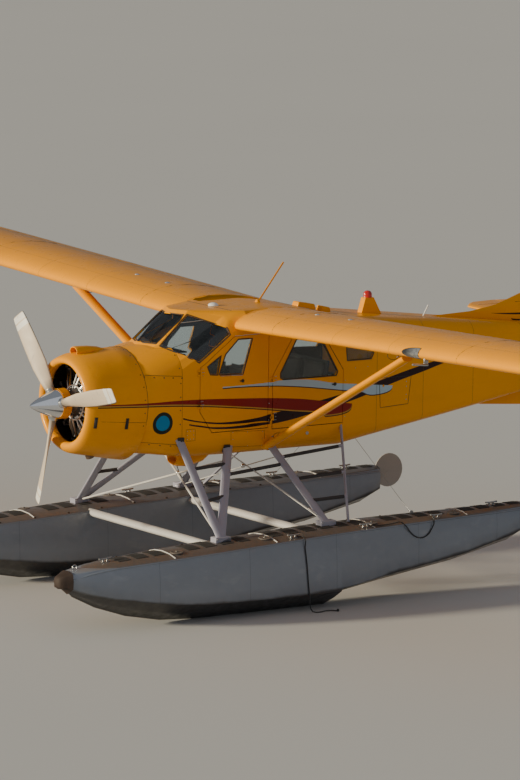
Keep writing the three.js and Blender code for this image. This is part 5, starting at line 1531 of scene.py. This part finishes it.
class FLOATPLANE_OT_cabin(bpy.types.Operator):
    """Makes the padded seats and bench, the dials, the shade over them and the two control wheels"""

    bl_idname = "floatplane.cabin"
    bl_label = "Cabin"

    # Outlines as (x, z) from the hub
    BASE = ((-2.060, -0.505), (-2.002, -0.214), (-1.945, -0.184), (-1.945, -0.168), (-2.405, -0.176),
            (-2.330, -0.212), (-2.270, -0.505))
    SHELL = ((-2.402, -0.170), (-2.418, -0.170), (-2.468, 0.326), (-2.450, 0.326))
    BENCH_SHIFT = -1.15
    CUSHION = (0.385, 0.37, 0.056)
    BACK = (0.400, 0.37, 0.046)
    PRESSURE = 4.0
    VOXEL = 0.006
    FRAMES = 20
    MOST = 0.012
    FILL = 0.7
    FRONT_MIDDLE = 0.270
    FRONT_HALF = 0.196
    BENCH_MIDDLES = (-0.235, 0.235)
    BENCH_HALF = 0.233
    LEAN = math.atan2(0.070, 0.450)
    # Middles of cushion and back, as (x, z) from the hub
    CUSHION_PLACE = (-2.140, -0.137)
    BACK_PLACE = (-2.388, 0.112)
    # As (y, z) from the hub
    DIALS = ((0.40, 0.42), (0.27, 0.42), (0.14, 0.42), (0.33, 0.29), (0.20, 0.29), (0.0, 0.36), (0.0, 0.24))
    PANEL_REAR = 1.481
    FACE = ((0.0, 0.0), (0.0, 0.042), (0.003, 0.042), (0.003, 0.0))
    RIM = ((0.0, 0.042), (0.0, 0.048), (0.009, 0.047), (0.009, 0.043))
    COLUMN = ((-1.475, 0, 0.12), (-1.60, 0, 0.14))
    WHEEL = (-1.660, 0.27, 0.200)

    def execute(self, context):
        models = {"cushion": self.pad(self.CUSHION), "back": self.pad(self.BACK)}
        for side, s in SIDES.items():
            self.seat(f"front_seat_{side}", 0.0, (s * self.FRONT_MIDDLE,), self.FRONT_HALF, models)
        self.seat("rear_bench", self.BENCH_SHIFT, self.BENCH_MIDDLES, self.BENCH_HALF, models)
        for model in models.values():
            bpy.data.objects.remove(model)
        self.panel()
        return {"FINISHED"}

    def pad(self, size):
        """A stuffed pad lying at the origin, crowned and drawn in between its corners."""
        obj = brick((0, 0, 0), size, min(size) * 0.3, 4)
        editing(obj, lambda: bpy.ops.mesh.subdivide(number_cuts=5))
        for vertex in obj.data.vertices:
            u, v = (2 * vertex.co[i] / size[i] for i in (0, 1))
            vertex.co.z *= 1 - 0.28 * max(abs(u), abs(v)) ** 3
            vertex.co.x *= 0.98 - 0.025 * (1 - v * v)
            vertex.co.y *= 0.98 - 0.025 * (1 - u * u)
        modified(obj, "REMESH", mode="VOXEL", voxel_size=self.VOXEL)
        before = [vertex.co.copy() for vertex in obj.data.vertices]
        cloth = obj.modifiers.new("stuffing", "CLOTH").settings
        cloth.use_pressure = True
        cloth.uniform_pressure_force = self.PRESSURE
        cloth.effector_weights.gravity = 0.0
        for frame_number in range(1, self.FRAMES + 1):
            bpy.context.scene.frame_set(frame_number)
        alone(obj)
        bpy.ops.object.modifier_apply(modifier="stuffing")
        for vertex, start in zip(obj.data.vertices, before):
            move = vertex.co - start
            if move.length > self.MOST:
                vertex.co = start + move.normalized() * self.MOST
        bpy.context.scene.frame_set(1)
        return modified(obj, "SMOOTH", factor=0.5, iterations=2)

    def seat(self, node, shift, middles, half, models):
        """One node's frame, with a cushion and a back at each middle."""
        low, high = min(middles) - half, max(middles) + half
        parts = [slab([at(x + shift, low, z) for x, z in outline], (0, high - low, 0), 0.006)
                 for outline in (self.BASE, self.SHELL)]
        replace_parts(placed(joined(parts), f"{node}_frame", "airframe", "panel"), node)
        widened = Matrix.Diagonal((1.0, 2 * half / self.CUSHION[1] * 0.93, 1.0, 1.0))
        leaning, raised = Matrix.Rotation(-self.LEAN, 4, "Y"), Matrix.Rotation(math.radians(90), 4, "Y")
        for i, middle in enumerate(middles):
            (flat_x, flat_z), (back_x, back_z) = self.CUSHION_PLACE, self.BACK_PLACE
            flat = Matrix.Translation(at(flat_x + shift, middle, flat_z))
            upright = Matrix.Translation(at(back_x + shift, middle, back_z)) @ leaning @ raised
            for part, place in (("cushion", flat), ("back", upright)):
                obj = linked(models[part].copy())
                obj.data = models[part].data.copy()
                obj.matrix_world = place @ widened
                piece = placed(obj, f"{node}_{part}_{i}", "airframe", "leather", 60.0)
                self.piping(models[part], place @ widened, f"{node}_{part}_piping_{i}")

    def piping(self, model, place, name):
        """The sewn edge round a pad."""
        tree = BVHTree.FromPolygons([v.co for v in model.data.vertices],
                                    [p.vertices for p in model.data.polygons])
        ring = []
        for angle in [math.radians(a) for a in range(0, 360, 10)]:
            out = Vector((math.cos(angle), math.sin(angle), 0))
            ring.append(place @ tree.ray_cast(out, -out)[0])
        placed(tube(ring, 0.004, 2, cyclic=True), name, "airframe", "leather")

    def panel(self):
        """The dials, the shade over them, and the two wheels on their column."""
        rear = HUB.x - self.PANEL_REAR
        dials, rims = [], []
        for y, z in self.DIALS:
            for s in ((1, -1) if y else (1,)):
                centre = Vector((rear, s * y, HUB.z + z))
                dials.append(lathe(self.FACE, centre, (-1, 0, 0), 28))
                rims.append(lathe(self.RIM, centre, (-1, 0, 0), 28))
        placed(joined(dials), "dial_faces", "airframe", "white")
        placed(joined(rims), "dial_rims", "airframe", "dial")
        shade = brick(at(-1.50, 0, 0.572), (0.13, 0.86, 0.016), 0.006, 3)
        placed(shade, "panel_shade", "airframe", "panel")
        wheels = [tube([at(*end) for end in self.COLUMN], 0.022, 3)]
        for s in (1, -1):
            x, y, z = self.WHEEL
            hub = Vector((x, s * y, z))
            wheels.append(tube([at(*self.COLUMN[1]), at(-1.645, s * 0.20, 0.19), at(*hub)], 0.014, 3))
            rim = [at(hub.x, hub.y + 0.135 * math.cos(a), hub.z + 0.115 * math.sin(a))
                   for a in [math.radians(d) for d in range(140, 401, 13)]]
            wheels.append(tube(rim, 0.011, 3))
            wheels.append(tube([rim[0], at(*hub), rim[-1]], 0.009, 3))
        placed(joined(wheels), "control_wheels", "airframe", "dial")


class FLOATPLANE_OT_lines(bpy.types.Operator):
    """Makes the two black mooring lines on the port float"""

    bl_idname = "floatplane.lines"
    bl_label = "Mooring lines"

    POINTS = 36
    # How far a line's surface stays off the float
    CLEAR = 0.004
    # As (x, z) from the hub, down the float's side and up again
    LOOP = ((-3.86, -1.580), (-3.94, -1.645), (-4.04, -1.672), (-4.14, -1.640), (-4.20, -1.570))
    TAIL_STATION = -2.30
    TAIL_LEVELS = (-1.62, -1.72, -1.84, -1.96, -2.08, -2.165)

    def execute(self, context):
        self.radius = context.scene.floatplane_sizes.rope / 2
        self.loop()
        self.tail()
        return {"FINISHED"}

    def on_deck(self, x, share, lift=0.0):
        half = abs(on_side("float_port", x, -1.62, 1)[0].y) - TRACK_HALF
        place = on_top("float_port", x, TRACK_HALF + share * half)[0]
        return place + Vector((0, 0, self.radius + self.CLEAR + lift))

    def beside(self, x, z, off=0.0):
        return on_side("float_port", x, z, 1)[0] + Vector((0, self.radius + self.CLEAR + off, 0))

    def loop(self):
        """Along the deck from one cleat, down the float's side and up again to the next."""
        places = [self.on_deck(-3.30, 0.74), self.on_deck(-3.45, 0.84), self.on_deck(-3.62, 0.86, 0.004),
                  self.on_deck(-3.74, 0.90, 0.016), self.beside(-3.80, -1.515, 0.016)]
        places += [self.beside(x, z) for x, z in self.LOOP]
        places += [self.beside(-4.225, -1.505, 0.016), self.on_deck(-4.24, 0.90, 0.016),
                   self.on_deck(-4.27, 0.74, 0.010)]
        self.rope("mooring_loop", places, "object")

    def tail(self):
        """From its cleat over the gunwale, down the side to the floor, where its end lies."""
        x = self.TAIL_STATION
        places = [self.on_deck(-2.25, 0.74), self.on_deck(-2.28, 0.84, 0.006), self.on_deck(x, 0.90, 0.018),
                  self.beside(x, -1.555, 0.018)]
        places += [self.beside(x - 0.01 * i, z) for i, z in enumerate(self.TAIL_LEVELS)]
        foot = places[-1]
        floor = self.radius + self.CLEAR
        places += [Vector((foot.x - 0.005, foot.y + 0.012, 0.12)),
                   Vector((foot.x - 0.015, foot.y + 0.020, 0.045)),
                   Vector((foot.x - 0.045, foot.y + 0.035, floor)),
                   Vector((foot.x - 0.12, foot.y + 0.070, floor)),
                   Vector((foot.x - 0.20, foot.y + 0.040, floor)),
                   Vector((foot.x - 0.29, foot.y + 0.055, floor)),
                   Vector((foot.x - 0.34, foot.y + 0.115, floor))]
        self.rope("mooring_tail", places, "knot", [self.knot(places[-1] + Vector((0, 0, 0.009)))])

    def knot(self, middle):
        """Two turns of the line that cross each other."""
        turns = []
        for direction in ((0, 0, 1), (0, 1, 0.4)):
            axis = Vector(direction).normalized()
            first = axis.orthogonal().normalized()
            second = axis.cross(first)
            ring = [middle + (first * math.cos(a) + second * math.sin(a)) * 0.012 for a in full_turn(12)]
            turns.append(tube(ring, self.radius * 0.8, 3, cyclic=True))
        return placed(joined(turns), "mooring_tail_knot", "airframe", "black_rope")

    def rope(self, name, places, far_end, extra=()):
        """A line that stays a curve."""
        points = smoothed(places, self.POINTS)
        obj = drawn(points, self.radius)
        obj.name = name
        obj.data.materials.append(finish("black_rope"))
        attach(obj, "airframe")


class FLOATPLANE_OT_stage(bpy.types.Operator):
    """Sets the floor, the lights and the camera"""

    bl_idname = "floatplane.stage"
    bl_label = "Stage"

    # How the photograph was taken: direction and height of the view, tilt, distance, focal length in pixels,
    # and how far the view's centre lies from the hub
    VIEW = {"azimuth": 0.9708705, "elevation": 0.15064286, "roll": 0.01611111, "distance": 64.472,
            "focal": 5445.73, "across": 2.41507, "up": 0.16462}
    FRAME_HEIGHT = 780
    SENSOR = 36.0
    FLOOR_SIZE = 400.0
    FLOOR_GREY = (0.62, 0.62, 0.61)
    SKY = (0.80, 0.84, 0.90, 1.0)
    SKY_STRENGTH = 0.25
    # Each sun's name, (elevation, azimuth) in degrees, strength, spread in degrees and colour
    SUNS = (("key_light", (13.0, -16.0), 5.0, 6.0, (1.0, 0.88, 0.64)),
            ("fill_light", (24.0, 75.0), 0.35, 80.0, (0.94, 0.96, 1.0)))

    def execute(self, context):
        alone()
        bpy.ops.mesh.primitive_grid_add(x_subdivisions=8, y_subdivisions=8, size=self.FLOOR_SIZE,
                                        location=(0, 0, 0))
        floor = context.object
        floor.name = "studio_floor"
        paper = Finish("studio_floor", self.FLOOR_GREY, 0.8)
        paper.tint(paper.spread(paper.noise(0.15), 0.4, 0.7, 0.0, 0.06), (0.5, 0.5, 0.5))
        floor.data.materials.append(paper.done())
        world = bpy.data.worlds.new("studio_light")
        context.scene.world = world
        world.use_nodes = True
        background = world.node_tree.nodes["Background"]
        background.inputs["Color"].default_value = self.SKY
        background.inputs["Strength"].default_value = self.SKY_STRENGTH
        for sun in self.SUNS:
            self.sun(*sun)
        self.camera(context)
        return {"FINISHED"}

    def sun(self, name, direction, strength, spread, colour):
        """A light from a direction: azimuth 0 is the nose, 90 is port."""
        elevation, azimuth = (math.radians(value) for value in direction)
        toward = Vector((math.cos(elevation) * math.cos(azimuth), math.cos(elevation) * math.sin(azimuth),
                         math.sin(elevation)))
        alone()
        bpy.ops.object.light_add(type="SUN", location=toward * 30)
        light = bpy.context.object
        light.name = name
        light.rotation_euler = toward.to_track_quat("Z", "Y").to_euler()
        light.data.energy = strength
        light.data.angle = math.radians(spread)
        light.data.color = colour

    def camera(self, context):
        """Stands where the photograph was taken from."""
        view = self.VIEW
        level = Vector((math.cos(view["azimuth"]), math.sin(view["azimuth"]), 0.0))
        back = level * math.cos(view["elevation"]) + Vector((0, 0, math.sin(view["elevation"])))
        right = Vector((-math.sin(view["azimuth"]), math.cos(view["azimuth"]), 0.0))
        up = back.cross(right)
        tilt = view["roll"]
        right, up = right * math.cos(tilt) + up * math.sin(tilt), up * math.cos(tilt) - right * math.sin(tilt)
        place = HUB + back * view["distance"] + right * view["across"] + up * view["up"]
        alone()
        bpy.ops.object.camera_add(location=place)
        camera = context.object
        camera.name = "photo_camera"
        camera.matrix_world = Matrix.Translation(place) @ Matrix((right, up, back)).transposed().to_4x4()
        camera.data.sensor_width = self.SENSOR
        camera.data.lens = view["focal"] * self.SENSOR / self.FRAME_HEIGHT
        camera.data.clip_end = 1000.0
        context.scene.camera = camera


class FLOATPLANE_PT_pieces(bpy.types.Panel):
    """Lists the pieces"""

    bl_label = "Floatplane"
    bl_space_type = "VIEW_3D"
    bl_region_type = "UI"
    bl_category = "Floatplane"

    def draw(self, context):
        for group in (context.scene.floatplane_colours, context.scene.floatplane_sizes):
            for name in group.bl_rna.properties.keys():
                if name not in ("rna_type", "name"):
                    self.layout.prop(group, name)
        for piece in PIECES:
            self.layout.operator(piece.bl_idname)


PIECES = (
    FLOATPLANE_OT_stage, FLOATPLANE_OT_lines, FLOATPLANE_OT_skins, FLOATPLANE_OT_nose,
    FLOATPLANE_OT_propeller, FLOATPLANE_OT_engine, FLOATPLANE_OT_windows, FLOATPLANE_OT_fittings,
    FLOATPLANE_OT_wings, FLOATPLANE_OT_tail, FLOATPLANE_OT_floats, FLOATPLANE_OT_rigging,
    FLOATPLANE_OT_cabin,
)
CLASSES = (FloatplaneColours, FloatplaneSizes, *PIECES, FLOATPLANE_PT_pieces)


def register():
    for each in CLASSES:
        bpy.utils.register_class(each)
    bpy.types.Scene.floatplane_colours = bpy.props.PointerProperty(type=FloatplaneColours)
    bpy.types.Scene.floatplane_sizes = bpy.props.PointerProperty(type=FloatplaneSizes)


def unregister():
    del bpy.types.Scene.floatplane_sizes
    del bpy.types.Scene.floatplane_colours
    for each in reversed(CLASSES):
        bpy.utils.unregister_class(each)


def main():
    register()
    for piece in PIECES:
        group, name = piece.bl_idname.split(".")
        getattr(getattr(bpy.ops, group), name)()


if __name__ == "__main__":
    main()
